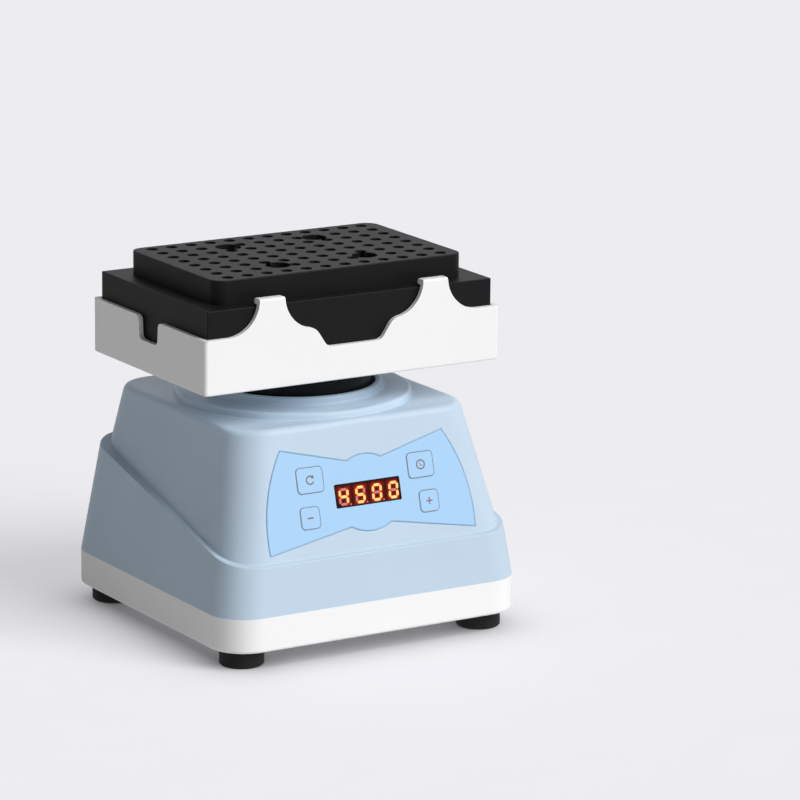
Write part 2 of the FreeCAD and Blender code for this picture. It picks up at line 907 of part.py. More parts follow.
def housing_shell():
    form = housing_form()
    walls = cut("housing_walls", form, housing_hollow())
    extras = foot_posts(form) + board_posts() + [recess_block(form), deck_rings()]
    full = fuse("housing_full", walls, *extras)
    cutters = [
        cylinder("drum_way", collar_bore, 0, axis_y, motor_plate_top, collar_top + S.collar_height),
        panel_recess(),
        on_face(plate("display_way", display_outline(0), -way_depth, way_depth)),
        block(
            "recess_way", recess_left, S.recess_floor, recess_low, recess_right, S.base_depth, recess_high
        ),
        rear_cylinder("socket_way", S.socket_radius, S.socket_place, S.socket_length),
        switch_box(
            "switch_way", S.rocker_body_width, S.rocker_body_height,
            S.recess_floor - S.rocker_body_depth, S.base_depth,
        ),
    ]
    for name in KEYS:
        way = plate(f"key_{name}_way", key_outline(name, S.key_play), -way_depth, way_depth)
        cutters.append(on_face(way))
    for number, (across, up) in enumerate(board_post_places(), start=1):
        depth = S.board_screw_length - S.board_thickness
        hole = cylinder(f"board_screw_hole_{number}", S.board_screw_radius, 0, 0, 0, depth)
        cutters.append(on_face(hole, across, up, -S.board_depth))
    screw_top = S.foot_seat_height + S.foot_screw_length
    for corner, x, y in foot_places():
        cutters.append(cylinder(f"post_hole_{corner}", S.foot_screw_radius, x, y, 0, screw_top))
    return cut("housing_shell", full, *cutters)


# Control panel, display, keys and control board
def control_overlay():
    low = S.panel_proud - S.panel_sheet
    sheet_plate = plate("overlay_sheet", panel_outline(), low, S.panel_proud)
    ways = [plate("overlay_display_way", display_outline(S.display_play), -way_depth, way_depth)]
    for name in KEYS:
        outline = key_outline(name, S.key_play)
        ways.append(plate(f"overlay_{name}_way", outline, -way_depth, way_depth))
    return on_face(cut("control_overlay", sheet_plate, *ways))


def display():
    lens = on_face(plate("display_lens", display_outline(0), -face_wall, S.panel_proud))
    half_width = S.display_frame_width / 2
    low = S.display_rise - S.display_frame_height / 2
    corners = rectangle(-half_width, low, half_width, low + S.display_frame_height)
    module_top = -face_wall - S.key_play
    return [lens, on_face(plate("display_module", corners, -S.board_depth, module_top))]


def control_board():
    corners = rectangle(-S.board_half_width, S.board_low, S.board_half_width, S.board_high)
    owner = plate("control_board", corners, -S.board_depth - S.board_thickness, -S.board_depth)
    holes = new_sketch(owner, "control_board_holes", "XY_Plane", -S.board_depth)
    for across, up in board_post_places():
        draw_circle(holes, across, up, S.board_screw_radius + S.screw_play)
    pocket(owner, "control_board_hole_cut", holes, S.board_thickness)
    screw = [
        (0, -S.board_screw_head_height),
        (S.board_screw_head_radius, -S.board_screw_head_height),
        (S.board_screw_head_radius, 0),
        (S.board_screw_radius, 0),
        (S.board_screw_radius, S.board_screw_length),
        (0, S.board_screw_length),
    ]
    screws = []
    for number, (across, up) in enumerate(board_post_places(), start=1):
        screw_body = turned(f"board_screw_{number}", screw)
        screws.append(on_face(screw_body, across, up, -S.board_depth - S.board_thickness))
    return [on_face(owner), group("control_board_screws", *screws)]


def keys():
    """Each key has a cap in the panel, a flange behind the wall and a stem in its press switch."""
    flange_top = -face_wall - S.key_play
    flange_low = flange_top - S.key_flange_thickness
    switch_top = S.switch_height - S.board_depth
    stem_low = switch_top - S.key_stem_radius
    pieces = []
    for name in KEYS:
        middle = key_box(name)[1]
        owner = plate(f"key_{name}", key_outline(name, 0), flange_top, S.panel_proud + S.key_proud)
        back = sketch_of(owner, f"key_{name}_back", "XY_Plane", flange_low, key_outline(name, S.key_flange))
        pad(owner, f"key_{name}_flange", back, S.key_flange_thickness)
        stem = new_sketch(owner, f"key_{name}_stem_circle", "XY_Plane", stem_low)
        draw_circle(stem, *middle, S.key_stem_radius)
        pad(owner, f"key_{name}_stem", stem, flange_low - stem_low)
        pieces.append(on_face(owner))

        half = S.switch_side / 2
        corners = rectangle(middle[0] - half, middle[1] - half, middle[0] + half, middle[1] + half)
        switch = plate(f"press_switch_{name}", corners, -S.board_depth, switch_top)
        bore = new_sketch(switch, f"press_switch_{name}_circle", "XY_Plane", switch_top)
        draw_circle(bore, *middle, S.key_stem_radius + S.key_play)
        pocket(switch, f"press_switch_{name}_bore", bore, S.key_stem_radius + S.key_travel + S.key_play)
        pieces.append(on_face(switch))
    return pieces


# Ballast, pillars and motor plate
def ballast_plate():
    corners = centred(S.ballast_width, S.ballast_width, S.ballast_corner, 0, axis_y)
    owner = plate("ballast_plate", corners, pan_floor, ballast_top)
    holes = new_sketch(owner, "ballast_holes", "XY_Plane", ballast_top)
    for x, y in pillar_places():
        draw_circle(holes, x, y, S.small_screw_radius + S.screw_play)
    pocket(owner, "ballast_hole_cut", holes, S.ballast_thickness)
    return owner


def pillars():
    """Four pillars, tapped at both ends, with the screws from above and from below."""
    length = motor_plate_under - ballast_top
    lower_end = S.small_screw_grip
    upper_end = length - S.small_screw_grip
    profile = [
        (0, lower_end),
        (S.small_screw_radius, lower_end),
        (S.small_screw_radius, 0),
        (S.pillar_radius, 0),
        (S.pillar_radius, length),
        (S.small_screw_radius, length),
        (S.small_screw_radius, upper_end),
        (0, upper_end),
    ]
    head = (S.small_screw_head_radius, S.small_screw_head_height)
    top_screw = screw_profile(S.small_screw_radius, S.motor_plate_thickness + S.small_screw_grip, *head)
    shank = ballast_top + S.small_screw_grip - pan_bottom
    low_screw = [
        (0, 0),
        (S.small_screw_head_radius, 0),
        (S.small_screw_head_radius, S.small_screw_head_height),
        (S.small_screw_radius, S.small_screw_head_height),
        (S.small_screw_radius, shank),
        (0, shank),
    ]
    pieces = []
    tops = []
    lows = []
    for (corner, _, _), (x, y) in zip(CORNERS, pillar_places()):
        pieces.append(turned(f"pillar_{corner}", profile, x, y, ballast_top))
        tops.append(turned(f"plate_screw_{corner}", top_screw, x, y, motor_plate_top))
        lows.append(turned(f"base_screw_{corner}", low_screw, x, y, pan_bottom))
    return pieces + [group("motor_plate_screws", *tops), group("base_screws", *lows)]


def motor_screw_places():
    return [(x * S.motor_screw_place, axis_y + y * S.motor_screw_place) for _, x, y in CORNERS]


def motor_plate():
    corners = centred(S.motor_plate_width, S.motor_plate_width, S.motor_plate_corner, 0, axis_y)
    owner = plate("motor_plate", corners, motor_plate_under, motor_plate_top)
    holes = new_sketch(owner, "motor_plate_holes", "XY_Plane", motor_plate_top)
    for x, y in pillar_places() + motor_screw_places():
        draw_circle(holes, x, y, S.small_screw_radius + S.screw_play)
    draw_circle(holes, 0, axis_y, S.shaft_radius + S.shaft_hole_play)
    pocket(owner, "motor_plate_hole_cut", holes, S.motor_plate_thickness)
    return owner


# Motor
def motor():
    """Hollow can with a bearing in each end, the stator in its wall and four screws from above."""
    hole = S.shaft_radius + S.shaft_hole_play
    boss = S.bearing_radius + S.motor_boss_wall
    inside = S.motor_radius - S.motor_wall
    seat_end = S.bearing_lip + S.bearing_height
    length = S.motor_length
    profile = [
        (hole, 0),
        (S.motor_radius, 0),
        (S.motor_radius, length),
        (hole, length),
        (hole, length - S.bearing_lip),
        (S.bearing_radius, length - S.bearing_lip),
        (S.bearing_radius, length - seat_end),
        (boss, length - seat_end),
        (boss, length - S.motor_end_wall),
        (inside, length - S.motor_end_wall),
        (inside, S.motor_end_wall),
        (boss, S.motor_end_wall),
        (boss, seat_end),
        (S.bearing_radius, seat_end),
        (S.bearing_radius, S.bearing_lip),
        (hole, S.bearing_lip),
    ]
    can = turned("motor_can", profile, 0, axis_y, motor_bottom)
    holes = new_sketch(can, "motor_can_holes", "XY_Plane", length)
    for _, x, y in CORNERS:
        draw_circle(holes, x * S.motor_screw_place, y * S.motor_screw_place, S.small_screw_radius)
    pocket(can, "motor_can_hole_cut", holes, S.motor_end_wall)

    race = ring_profile(S.shaft_radius + S.running_play, S.bearing_radius, 0, S.bearing_height)
    lower = turned("motor_bearing_lower", race, 0, axis_y, motor_bottom + S.bearing_lip)
    upper = turned("motor_bearing_upper", race, 0, axis_y, motor_plate_under - seat_end)

    middle = motor_bottom + length / 2
    core = ring_profile(S.stator_bore_radius, inside, -S.stator_length / 2, S.stator_length / 2)
    stator = turned("motor_stator", core, 0, axis_y, middle)

    head = (S.small_screw_head_radius, S.small_screw_head_height)
    screw = screw_profile(S.small_screw_radius, S.motor_plate_thickness + S.motor_end_wall, *head)
    screws = []
    for (corner, _, _), (x, y) in zip(CORNERS, motor_screw_places()):
        screws.append(turned(f"motor_screw_{corner}", screw, x, y, motor_plate_top))
    return [can, lower, upper, stator, group("motor_screws", *screws)]


def rotor():
    """What turns with the motor: magnet and shaft, eccentric hub with crank pin, and their screws."""
    shaft_low = motor_bottom - S.shaft_tail
    shaft = cylinder("motor_shaft", S.shaft_radius, 0, axis_y, shaft_low, hub_top - S.hub_roof)
    magnet_radius = S.stator_bore_radius - S.air_gap
    core = ring_profile(S.shaft_radius, magnet_radius, -S.magnet_length / 2, S.magnet_length / 2)
    magnet = turned("motor_magnet", core, 0, axis_y, motor_bottom + S.motor_length / 2)

    weight_low = hub_bottom + S.weight_rise
    weight = cylinder("hub_weight", S.weight_radius, 0, axis_y, weight_low, weight_low + S.weight_height)
    weight.Angle = 180
    solid = fuse(
        "hub_solid",
        cylinder("hub_barrel", S.hub_radius, 0, axis_y, hub_bottom, hub_top),
        weight,
        cylinder("hub_pin", S.pin_radius, 0, 0, hub_top - S.hub_roof, pin_top),
    )
    set_level = hub_bottom + S.set_screw_rise
    set_way = cylinder("hub_set_screw_way", S.set_screw_radius, 0, 0, 0, S.hub_radius)
    set_way.Placement.Rotation = Rotation(Vector(1, 0, 0), 90)
    hub = cut(
        "eccentric_hub",
        solid,
        cylinder("hub_shaft_way", S.shaft_radius, 0, axis_y, motor_bottom, hub_top - S.hub_roof),
        place(set_way, 0, axis_y, set_level),
        cylinder("hub_pin_screw_way", S.set_screw_radius, 0, 0, pin_top - S.pin_screw_length, tray_bottom),
    )
    set_length = S.hub_radius - S.shaft_radius - S.running_play
    set_screw = cylinder("hub_set_screw", S.set_screw_radius, 0, 0, 0, set_length)
    set_screw.Placement.Rotation = Rotation(Vector(1, 0, 0), 90)
    place(set_screw, 0, axis_y - S.shaft_radius, set_level)
    head = (S.pin_screw_head_radius, S.pin_screw_head_height)
    profile = screw_profile(S.set_screw_radius, S.pin_screw_length, *head)
    return [shaft, magnet, hub, set_screw, turned("crank_pin_screw", profile, 0, 0, pin_top)]


# Shaking head
def head_bearing():
    """Shielded ball bearing: two rings with the shields a little sunk between them."""
    bore = S.pin_radius + S.running_play
    inner = bore + S.head_bearing_ring
    outer = S.head_bearing_radius - S.head_bearing_ring
    high = S.head_bearing_height
    sunk = S.head_bearing_shield_depth
    profile = [
        (bore, 0),
        (inner, 0),
        (inner, sunk),
        (outer, sunk),
        (outer, 0),
        (S.head_bearing_radius, 0),
        (S.head_bearing_radius, high),
        (outer, high),
        (outer, high - sunk),
        (inner, high - sunk),
        (inner, high),
        (bore, high),
    ]
    return turned("head_bearing", profile, 0, 0, head_bearing_bottom)


def head_circlip():
    groove = S.head_bearing_radius + S.circlip_bite
    ring = ring_profile(groove - S.circlip_width, groove, 0, S.circlip_thickness)
    owner = turned("head_circlip", ring, 0, 0, circlip_bottom)
    half = S.circlip_opening / 2
    corners = rectangle(-half, 0, half, 2 * groove)
    mouth = sketch_of(owner, "head_circlip_mouth", "XY_Plane", S.circlip_thickness, corners)
    pocket(owner, "head_circlip_mouth_cut", mouth, S.circlip_thickness)
    return owner


def drive_drum():
    groove = S.head_bearing_radius + S.circlip_bite
    skirt_low = deck_top - S.drum_dip
    roof_low = tray_bottom - S.drum_roof
    inner = S.drum_radius - S.drum_wall
    relief_top = head_bearing_top + S.drum_relief_height
    profile = [
        (0, tray_bottom),
        (0, relief_top),
        (S.drum_relief_radius, relief_top),
        (S.drum_relief_radius, head_bearing_top),
        (S.head_bearing_radius, head_bearing_top),
        (S.head_bearing_radius, head_bearing_bottom),
        (groove, head_bearing_bottom),
        (groove, circlip_bottom),
        (S.head_bearing_radius, circlip_bottom),
        (S.head_bearing_radius, drum_boss_bottom),
        (S.drum_boss_radius, drum_boss_bottom),
        (S.drum_boss_radius, roof_low),
        (inner, roof_low),
        (inner, skirt_low),
        (S.drum_radius, skirt_low),
        (S.drum_radius, tray_bottom),
    ]
    owner = turned("drive_drum", profile)
    bosses = new_sketch(owner, "drum_column_circles", "XY_Plane", roof_low - S.column_boss_height)
    holes = new_sketch(owner, "drum_screw_holes", "XY_Plane", tray_bottom)
    for _, x, y in CORNERS:
        draw_circle(bosses, x * S.column_place, y * S.column_place, S.column_boss_radius)
        draw_circle(holes, x * S.tray_screw_place_x, y * S.tray_screw_place_y, S.small_screw_radius)
    pad(owner, "drum_column_bosses", bosses, S.column_boss_height + S.drum_roof / 2)
    pocket(owner, "drum_screw_hole_cut", holes, S.tray_screw_length - S.tray_wall)
    return owner


def support_columns():
    """Four slender columns from the motor plate to the drum, bent sideways by the crank's throw."""
    top = tray_bottom - S.drum_roof - S.column_boss_height - S.column_play
    columns = []
    for corner, x, y in CORNERS:
        ends = []
        for end, level, shift in (("foot", motor_plate_top, axis_y), ("top", top, size(0))):
            circle = document.addObject("Part::Circle", f"column_{end}_{corner}")
            bind(circle, "Radius", S.column_radius)
            ends.append(place(circle, x * S.column_place, shift + y * S.column_place, level))
        column = document.addObject("Part::Loft", f"column_{corner}")
        column.Sections = ends
        column.Solid = True
        column.Ruled = True
        columns.append(column)
    return group("support_columns", *columns)


tray_inner_half_x = S.rack_width / 2 + S.rack_play
tray_inner_half_y = S.rack_depth / 2 + S.rack_play
tray_half_x = tray_inner_half_x + S.tray_wall
tray_half_y = tray_inner_half_y + S.tray_wall
tab_inner = S.tab_outer - S.tab_width


def tray_openings():
    """What is cut away above the front and rear walls: both ends, and the scoop between the tabs."""
    over = S.tab_height + S.tray_wall
    end_scoop = S.tab_height - S.tray_wall_height
    middle_scoop = S.tab_height - S.shoulder_height
    shoulder = tab_inner - middle_scoop
    far = 2 * tray_half_x
    right = [
        (far, S.tray_wall_height),
        (far, over),
        (S.tab_outer, over),
        (S.tab_outer, S.tab_height, end_scoop, 1),
        (S.tab_outer + end_scoop, S.tray_wall_height),
    ]
    left = [
        (-far, S.tray_wall_height),
        (-S.tab_outer - end_scoop, S.tray_wall_height, end_scoop, 1),
        (-S.tab_outer, S.tab_height),
        (-S.tab_outer, over),
        (-far, over),
    ]
    middle = [
        (-tab_inner, over),
        (-tab_inner, S.tab_height, middle_scoop, 1),
        (-shoulder, S.shoulder_height),
        (-S.notch_half_width, S.notch_height),
        (S.notch_half_width, S.notch_height),
        (shoulder, S.shoulder_height, middle_scoop, 1),
        (tab_inner, S.tab_height),
        (tab_inner, over),
    ]
    return right, left, middle


def platform_tray():
    owner = new_body("platform_tray")
    outline = centred(2 * tray_half_x, 2 * tray_half_y, S.tray_corner)
    outer = sketch_of(owner, "tray_outline", "XY_Plane", 0, outline)
    outside = pad(owner, "tray_block", outer, S.tab_height)
    fillet(owner, "tray_bottom_edge", outside, S.tray_bottom_round, lambda p: near(p.z, 0))
    inside = rectangle(-tray_inner_half_x, -tray_inner_half_y, tray_inner_half_x, tray_inner_half_y)
    hollow = sketch_of(owner, "tray_inside", "XY_Plane", S.tab_height, inside)
    pocket(owner, "tray_hollow", hollow, S.tab_height - S.tray_wall)
    walls = sketch_of(owner, "tray_wall_outline", "XZ_Plane", 0, *tray_openings())
    pocket(owner, "tray_wall_cut", walls, 2 * S.base_depth, both_ways=True)

    side_notch = [
        (-S.side_notch_half_bottom, S.side_notch_height),
        (S.side_notch_half_bottom, S.side_notch_height),
        (S.side_notch_half_top, S.tray_wall_height + S.tray_wall),
        (-S.side_notch_half_top, S.tray_wall_height + S.tray_wall),
    ]
    sides = sketch_of(owner, "tray_side_notch", "YZ_Plane", 0, side_notch)
    pocket(owner, "tray_side_notch_cut", sides, 2 * S.base_width, both_ways=True)

    lip_low = S.tab_height - S.lip_thickness
    nose = tray_inner_half_y - S.lip_reach
    lips = [
        rectangle(nose, lip_low, tray_inner_half_y, S.tab_height),
        rectangle(-tray_inner_half_y, lip_low, -nose, S.tab_height),
    ]
    for side, x in SIDES:
        offset = x * (S.tab_outer - S.tab_width / 2)
        lip = sketch_of(owner, f"tray_lip_{side}_outline", "YZ_Plane", offset, *lips)
        last = pad(owner, f"tray_lips_{side}", lip, S.tab_width, both_ways=True)

    def on_nose(p):
        return near(abs(p.y), nose) and p.z > lip_low.number - SAME

    last = fillet(owner, "tray_lip_nose", last, S.lip_round, on_nose)

    def on_tab_edge(p):
        return near(abs(p.y), tray_half_y) and near(p.z, S.tab_height)

    last = fillet(owner, "tray_tab_edge", last, S.tab_round, on_tab_edge)

    def on_shoulder(p):
        middle_scoop = S.tab_height - S.shoulder_height
        return near(abs(p.x), tab_inner - middle_scoop) and near(p.z, S.shoulder_height)

    last = fillet(owner, "tray_shoulder", last, S.shoulder_round, on_shoulder, "y")

    def on_notch(p):
        return near(abs(p.x), S.notch_half_width) and near(p.z, S.notch_height)

    last = fillet(owner, "tray_notch", last, S.notch_round, on_notch, "y")

    def on_side_notch(p):
        low = near(abs(p.y), S.side_notch_half_bottom) and near(p.z, S.side_notch_height)
        high = abs(p.x) > tray_inner_half_x.number - SAME and near(p.z, S.tray_wall_height)
        return low or (high and abs(p.y) < tray_half_y.number / 2)

    fillet(owner, "tray_side_notch_round", last, S.side_notch_round, on_side_notch, "x")

    holes = new_sketch(owner, "tray_screw_holes", "XY_Plane", S.tray_wall)
    radius = S.small_screw_radius + S.screw_play
    for _, x, y in CORNERS:
        draw_circle(holes, x * S.tray_screw_place_x, y * S.tray_screw_place_y, radius)
    pocket(owner, "tray_screw_hole_cut", holes, S.tray_wall)
    return place(owner, 0, 0, tray_bottom)


def tray_screws():
    head = (S.tray_screw_head_radius, S.tray_screw_head_height)
    profile = screw_profile(S.small_screw_radius, S.tray_screw_length, *head)
    screws = []
    for corner, x, y in CORNERS:
        where = (x * S.tray_screw_place_x, y * S.tray_screw_place_y, tray_floor)
        screws.append(turned(f"tray_screw_{corner}", profile, *where))
    return screws


# Rack
tube_span_x = S.tube_pitch_x * (S.tube_columns - 1)
tube_span_y = S.tube_pitch_y * (S.tube_rows - 1)


def rack_base():
    """Block in the tray: a well under the tube plate, and channels that pass the tray's lips."""
    half_x = S.rack_width / 2
    half_y = S.rack_depth / 2
    owner = plate("rack_base", rectangle(-half_x, -half_y, half_x, half_y), tray_floor, rack_shoulder)
    reach = 2 * (S.tube_hole_radius + S.well_margin)
    opening = centred(tube_span_x + reach, tube_span_y + reach, S.well_corner)
    well = sketch_of(owner, "rack_well_outline", "XY_Plane", rack_shoulder, opening)
    pocket(owner, "rack_well", well, S.well_depth)
    holes = new_sketch(owner, "rack_base_access_circles", "XY_Plane", rack_shoulder)
    for _, x, y in CORNERS:
        draw_circle(holes, x * S.tray_screw_place_x, y * S.tray_screw_place_y, S.access_hole_radius)
    pocket(owner, "rack_base_access_holes", holes, S.rack_base_height)
    bottom = tray_inner_half_y - S.lip_reach - S.clip_channel_play
    channels = []
    for _, x, y in CORNERS:
        near_side, far_side = sorted((y * bottom, y * tray_half_y), key=lambda side: side.number)
        inner = x * (tab_inner - S.clip_channel_play)
        outer = x * (S.tab_outer + S.clip_channel_play)
        left, right = sorted((inner, outer), key=lambda side: side.number)
        channels.append(rectangle(left, near_side, right, far_side))
    channel = sketch_of(owner, "rack_clip_channel_outlines", "XY_Plane", rack_shoulder, *channels)
    pocket(owner, "rack_clip_channels", channel, S.rack_base_height)
    return owner


def rack_top():
    """Plate with the grid of tube holes and the four wider holes over the tray screws."""
    outline = centred(S.rack_top_width, S.rack_top_depth, S.rack_top_corner)
    owner = plate("rack_top", outline, rack_shoulder, rack_top_level)
    block_feature = document.getObject("rack_top_pad")
    edge = owner.newObject("PartDesign::Chamfer", "rack_top_edge")
    edge.Base = (block_feature, edge_names(block_feature, lambda p: near(p.z, rack_top_level)))
    bind(edge, "Size", S.rack_top_chamfer)

    corner = new_sketch(owner, "tube_hole_circle", "XY_Plane", rack_top_level)
    draw_circle(corner, -tube_span_x / 2, -tube_span_y / 2, S.tube_hole_radius)
    first = pocket(owner, "tube_hole", corner, S.rack_top_height)
    grid = owner.newObject("PartDesign::LinearPattern", "tube_hole_grid")
    grid.Originals = [first]
    grid.Direction = (corner, ["H_Axis"])
    grid.Direction2 = (corner, ["V_Axis"])
    bind(grid, "Length", tube_span_x)
    bind(grid, "Length2", tube_span_y)
    bind(grid, "Occurrences", S.tube_columns)
    bind(grid, "Occurrences2", S.tube_rows)
    owner.Tip = grid

    access = new_sketch(owner, "rack_top_access_circles", "XY_Plane", rack_top_level)
    for _, x, y in CORNERS:
        draw_circle(access, x * S.tray_screw_place_x, y * S.tray_screw_place_y, S.access_hole_radius)
    owner.Tip = pocket(owner, "rack_top_access_holes", access, S.rack_top_height)
    return owner


# Rear: power socket and rocker switch
def facing_rear(item, x):
    item.Placement.Rotation = Rotation(Vector(1, 0, 0), -90)
    return place(item, x, S.recess_floor, recess_middle)


def power_socket():
    profile = [
        (0, -S.socket_length),
        (S.socket_radius, -S.socket_length),
        (S.socket_radius, 0),
        (S.socket_flange_radius, 0),
        (S.socket_flange_radius, S.socket_flange_thickness),
        (S.socket_bore_radius, S.socket_flange_thickness),
        (S.socket_bore_radius, -S.socket_bore_depth),
        (0, -S.socket_bore_depth),
    ]
    depth = S.socket_bore_depth
    pin = cylinder("power_socket_pin", S.socket_pin_radius, 0, 0, 0, depth - S.socket_pin_setback)
    pin.Placement.Rotation = Rotation(Vector(1, 0, 0), -90)
    place(pin, S.socket_place, S.recess_floor - depth, recess_middle)
    return [facing_rear(turned("power_socket", profile), S.socket_place), pin]


def rocker_switch():
    """Frame with a pocket, and the rocker on its cross pin with its upper end pressed in."""
    face = S.recess_floor + S.rocker_flange_thickness
    pivot_y = face - S.rocker_pivot_depth
    frame_solid = fuse(
        "switch_frame_solid",
        switch_box("switch_flange", S.rocker_flange_width, S.rocker_flange_height, S.recess_floor, face),
        switch_box(
            "switch_body", S.rocker_body_width, S.rocker_body_height,
            S.recess_floor - S.rocker_body_depth, S.recess_floor,
        ),
    )
    pin_half = S.rocker_body_width / 2
    hole_radius = S.rocker_pin_radius + S.rocker_pin_play
    pin_way = cylinder("switch_pin_way", hole_radius, 0, 0, 0, 2 * pin_half)
    pin_way.Placement.Rotation = Rotation(Vector(0, 1, 0), 90)
    place(pin_way, -S.rocker_place - pin_half, pivot_y, recess_middle)
    pocket_front = face - S.rocker_pocket_depth
    frame = cut(
        "switch_frame",
        frame_solid,
        switch_box(
            "switch_pocket", S.rocker_pocket_width, S.rocker_pocket_height, pocket_front, S.base_depth
        ),
        pin_way,
    )

    half = S.rocker_half_length
    profile = [
        (S.rocker_valley, 0),
        (S.rocker_end_height, half),
        (S.rocker_end_low, half),
        (-S.rocker_belly_depth, S.rocker_belly_half),
        (-S.rocker_belly_depth, -S.rocker_belly_half),
        (S.rocker_end_low, -half),
        (S.rocker_end_height, -half),
    ]
    rocker = new_body("switch_rocker")
    side = sketch_of(rocker, "rocker_profile", "YZ_Plane", 0, profile)
    width = S.rocker_pocket_width - 2 * S.rocker_side_play
    pad(rocker, "rocker_wedge", side, width, both_ways=True)
    pin_circle = new_sketch(rocker, "rocker_pin_circle", "YZ_Plane", 0)
    draw_circle(pin_circle, 0, 0, S.rocker_pin_radius)
    pad(rocker, "rocker_pin", pin_circle, 2 * pin_half, both_ways=True)
    rocker.Placement.Rotation = Rotation(Vector(1, 0, 0), S.rocker_tilt.number)
    bind(rocker, "Placement.Rotation.Angle", S.rocker_tilt)
    return [frame, place(rocker, -S.rocker_place, pivot_y, recess_middle)]


# Driver board
def driver_board():
    half_width = S.driver_width / 2
    front = S.driver_place - S.driver_depth / 2
    rear = S.driver_place + S.driver_depth / 2
    board_low = ballast_top + S.driver_standoff_height
    board_top = board_low + S.driver_thickness
    board = plate("driver_board", rectangle(-half_width, front, half_width, rear), board_low, board_top)
    standoffs = []
    for corner, x, y in CORNERS:
        across = x * (half_width - S.driver_standoff_inset)
        along = S.driver_place + y * (S.driver_depth / 2 - S.driver_standoff_inset)
        radius = S.driver_standoff_radius
        standoffs.append(cylinder(f"standoff_{corner}", radius, across, along, ballast_top, board_low))
    parts = [
        cylinder(
            "capacitor", S.capacitor_radius, -S.capacitor_place, S.driver_place,
            board_top, board_top + S.capacitor_height,
        ),
        block(
            "heat_sink", -S.sink_width / 2, S.driver_place - S.sink_depth / 2, board_top,
            S.sink_width / 2, S.driver_place + S.sink_depth / 2, board_top + S.sink_height,
        ),
        block(
            "board_plug", S.plug_place - S.plug_width / 2, S.driver_place - S.plug_depth / 2, board_top,
            S.plug_place + S.plug_width / 2, S.driver_place + S.plug_depth / 2, board_top + S.plug_height,
        ),
    ]
    return [board, group("driver_standoffs", *standoffs), group("driver_parts", *parts)]


def check(pieces):
    for item in document.Objects:
        if "Invalid" in item.State or "Error" in item.State:
            raise RuntimeError(f"{item.Label} failed: {item.State}")
    for piece in pieces:
        if piece.Shape.isNull() or not piece.Shape.isValid() or not piece.Shape.Solids:
            raise RuntimeError(f"{piece.Label} has no valid solid")


def main():
    pieces = feet() + [base_pan(), housing_shell(), control_overlay()]
    pieces += display() + control_board() + keys()
    pieces += [ballast_plate()] + pillars() + [motor_plate()] + motor() + rotor()
    pieces += [head_bearing(), head_circlip(), drive_drum(), support_columns(), platform_tray()]
    pieces += tray_screws() + [rack_base(), rack_top()]
    pieces += power_socket() + rocker_switch() + driver_board()
    document.recompute()
    check(pieces)
    os.makedirs("parts", exist_ok=True)
    for piece in pieces:
        piece.Shape.exportStep(os.path.join("parts", f"{piece.Label}.step"))
        print(f"{piece.Label}: {len(piece.Shape.Solids)} solid(s), {piece.Shape.Volume:.1f} cubic mm")


main()
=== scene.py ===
import math

import bpy
import numpy as np
from bpy.props import FloatProperty, FloatVectorProperty, PointerProperty
from bpy.types import Operator, Panel, PropertyGroup
from mathutils import Matrix, Vector


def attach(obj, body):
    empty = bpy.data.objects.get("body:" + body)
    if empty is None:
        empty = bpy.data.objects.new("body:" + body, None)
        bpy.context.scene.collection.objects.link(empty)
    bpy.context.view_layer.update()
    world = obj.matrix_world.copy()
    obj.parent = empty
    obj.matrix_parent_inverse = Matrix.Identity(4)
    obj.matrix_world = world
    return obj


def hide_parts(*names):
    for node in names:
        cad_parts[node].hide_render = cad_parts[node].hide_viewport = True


bl_info = {
    "name": "Multi-tube vortex mixer",
    "version": (1, 0, 0),
    "blender": (4, 5, 0),
    "location": "View3D > Sidebar > Mixer",
    "description": "Dresses the packed mixer with its housing, panel, tray, rack and studio",
    "category": "Object",
}

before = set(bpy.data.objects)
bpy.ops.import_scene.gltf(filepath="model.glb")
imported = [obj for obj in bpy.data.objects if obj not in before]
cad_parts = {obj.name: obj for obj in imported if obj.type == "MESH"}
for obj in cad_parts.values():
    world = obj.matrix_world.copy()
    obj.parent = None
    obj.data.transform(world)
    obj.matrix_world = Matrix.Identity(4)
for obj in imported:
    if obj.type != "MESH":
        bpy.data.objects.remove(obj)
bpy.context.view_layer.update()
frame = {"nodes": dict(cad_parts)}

# Lengths in this file are in millimetres until a mesh is made
MM = 0.001

# Levels above the desk and places that the solids have too
PAN_TOP = 21.2
BASE_HALF = (67.5, 66.0)
SKIRT_CORNER = 15.0
SKIRT_LEAN = 0.132
LEDGE_MIDDLE = 54.3
LEDGE_SLOPE = 29.0 / 132.0
UPPER_LOW = 36.0
DECK_TOP = 90.0
UPPER_CORNER = 14.5
UPPER_LOW_SIDES = (64.05, 63.1, 62.0)
UPPER_TOP_SIDES = (53.0, 48.0, 55.0)
SHELL_WALL = 2.2
MOTOR_Y = 2.0
BOSS_RADIUS = 46.7
BOSS_FLARE = 0.8
BOSS_HEIGHT = 2.7
COLLAR_RADIUS = 35.5
COLLAR_BORE = 32.5
COLLAR_TOP = 96.1
LEDGE_SOFT = (0.5, 0.6)
DECK_SOFT = 2.6
BOSS_SOFT = (0.25, 1.3)
COLLAR_SOFT = (1.4, 1.45)
SHELL_SOFT = (1.0, 0.6)
FACE_ORIGIN = np.array([0.0, -61.1146, 43.1])
FACE_RISE = 54.0
FACE_RUN = 15.1
WALL_OUT = 2.1
WAY_DEPTH = 4.0

# Rear recess, with the ways of the socket and the switch
RECESS_HALF = 24.0
RECESS_LOW = 28.2
RECESS_HIGH = 56.2
RECESS_MIDDLE = 42.2
RECESS_FLOOR = 56.0
SOCKET_X = 12.0
SOCKET_WAY = 5.2
SWITCH_X = -11.0
SWITCH_WAY = (6.3, 9.4)

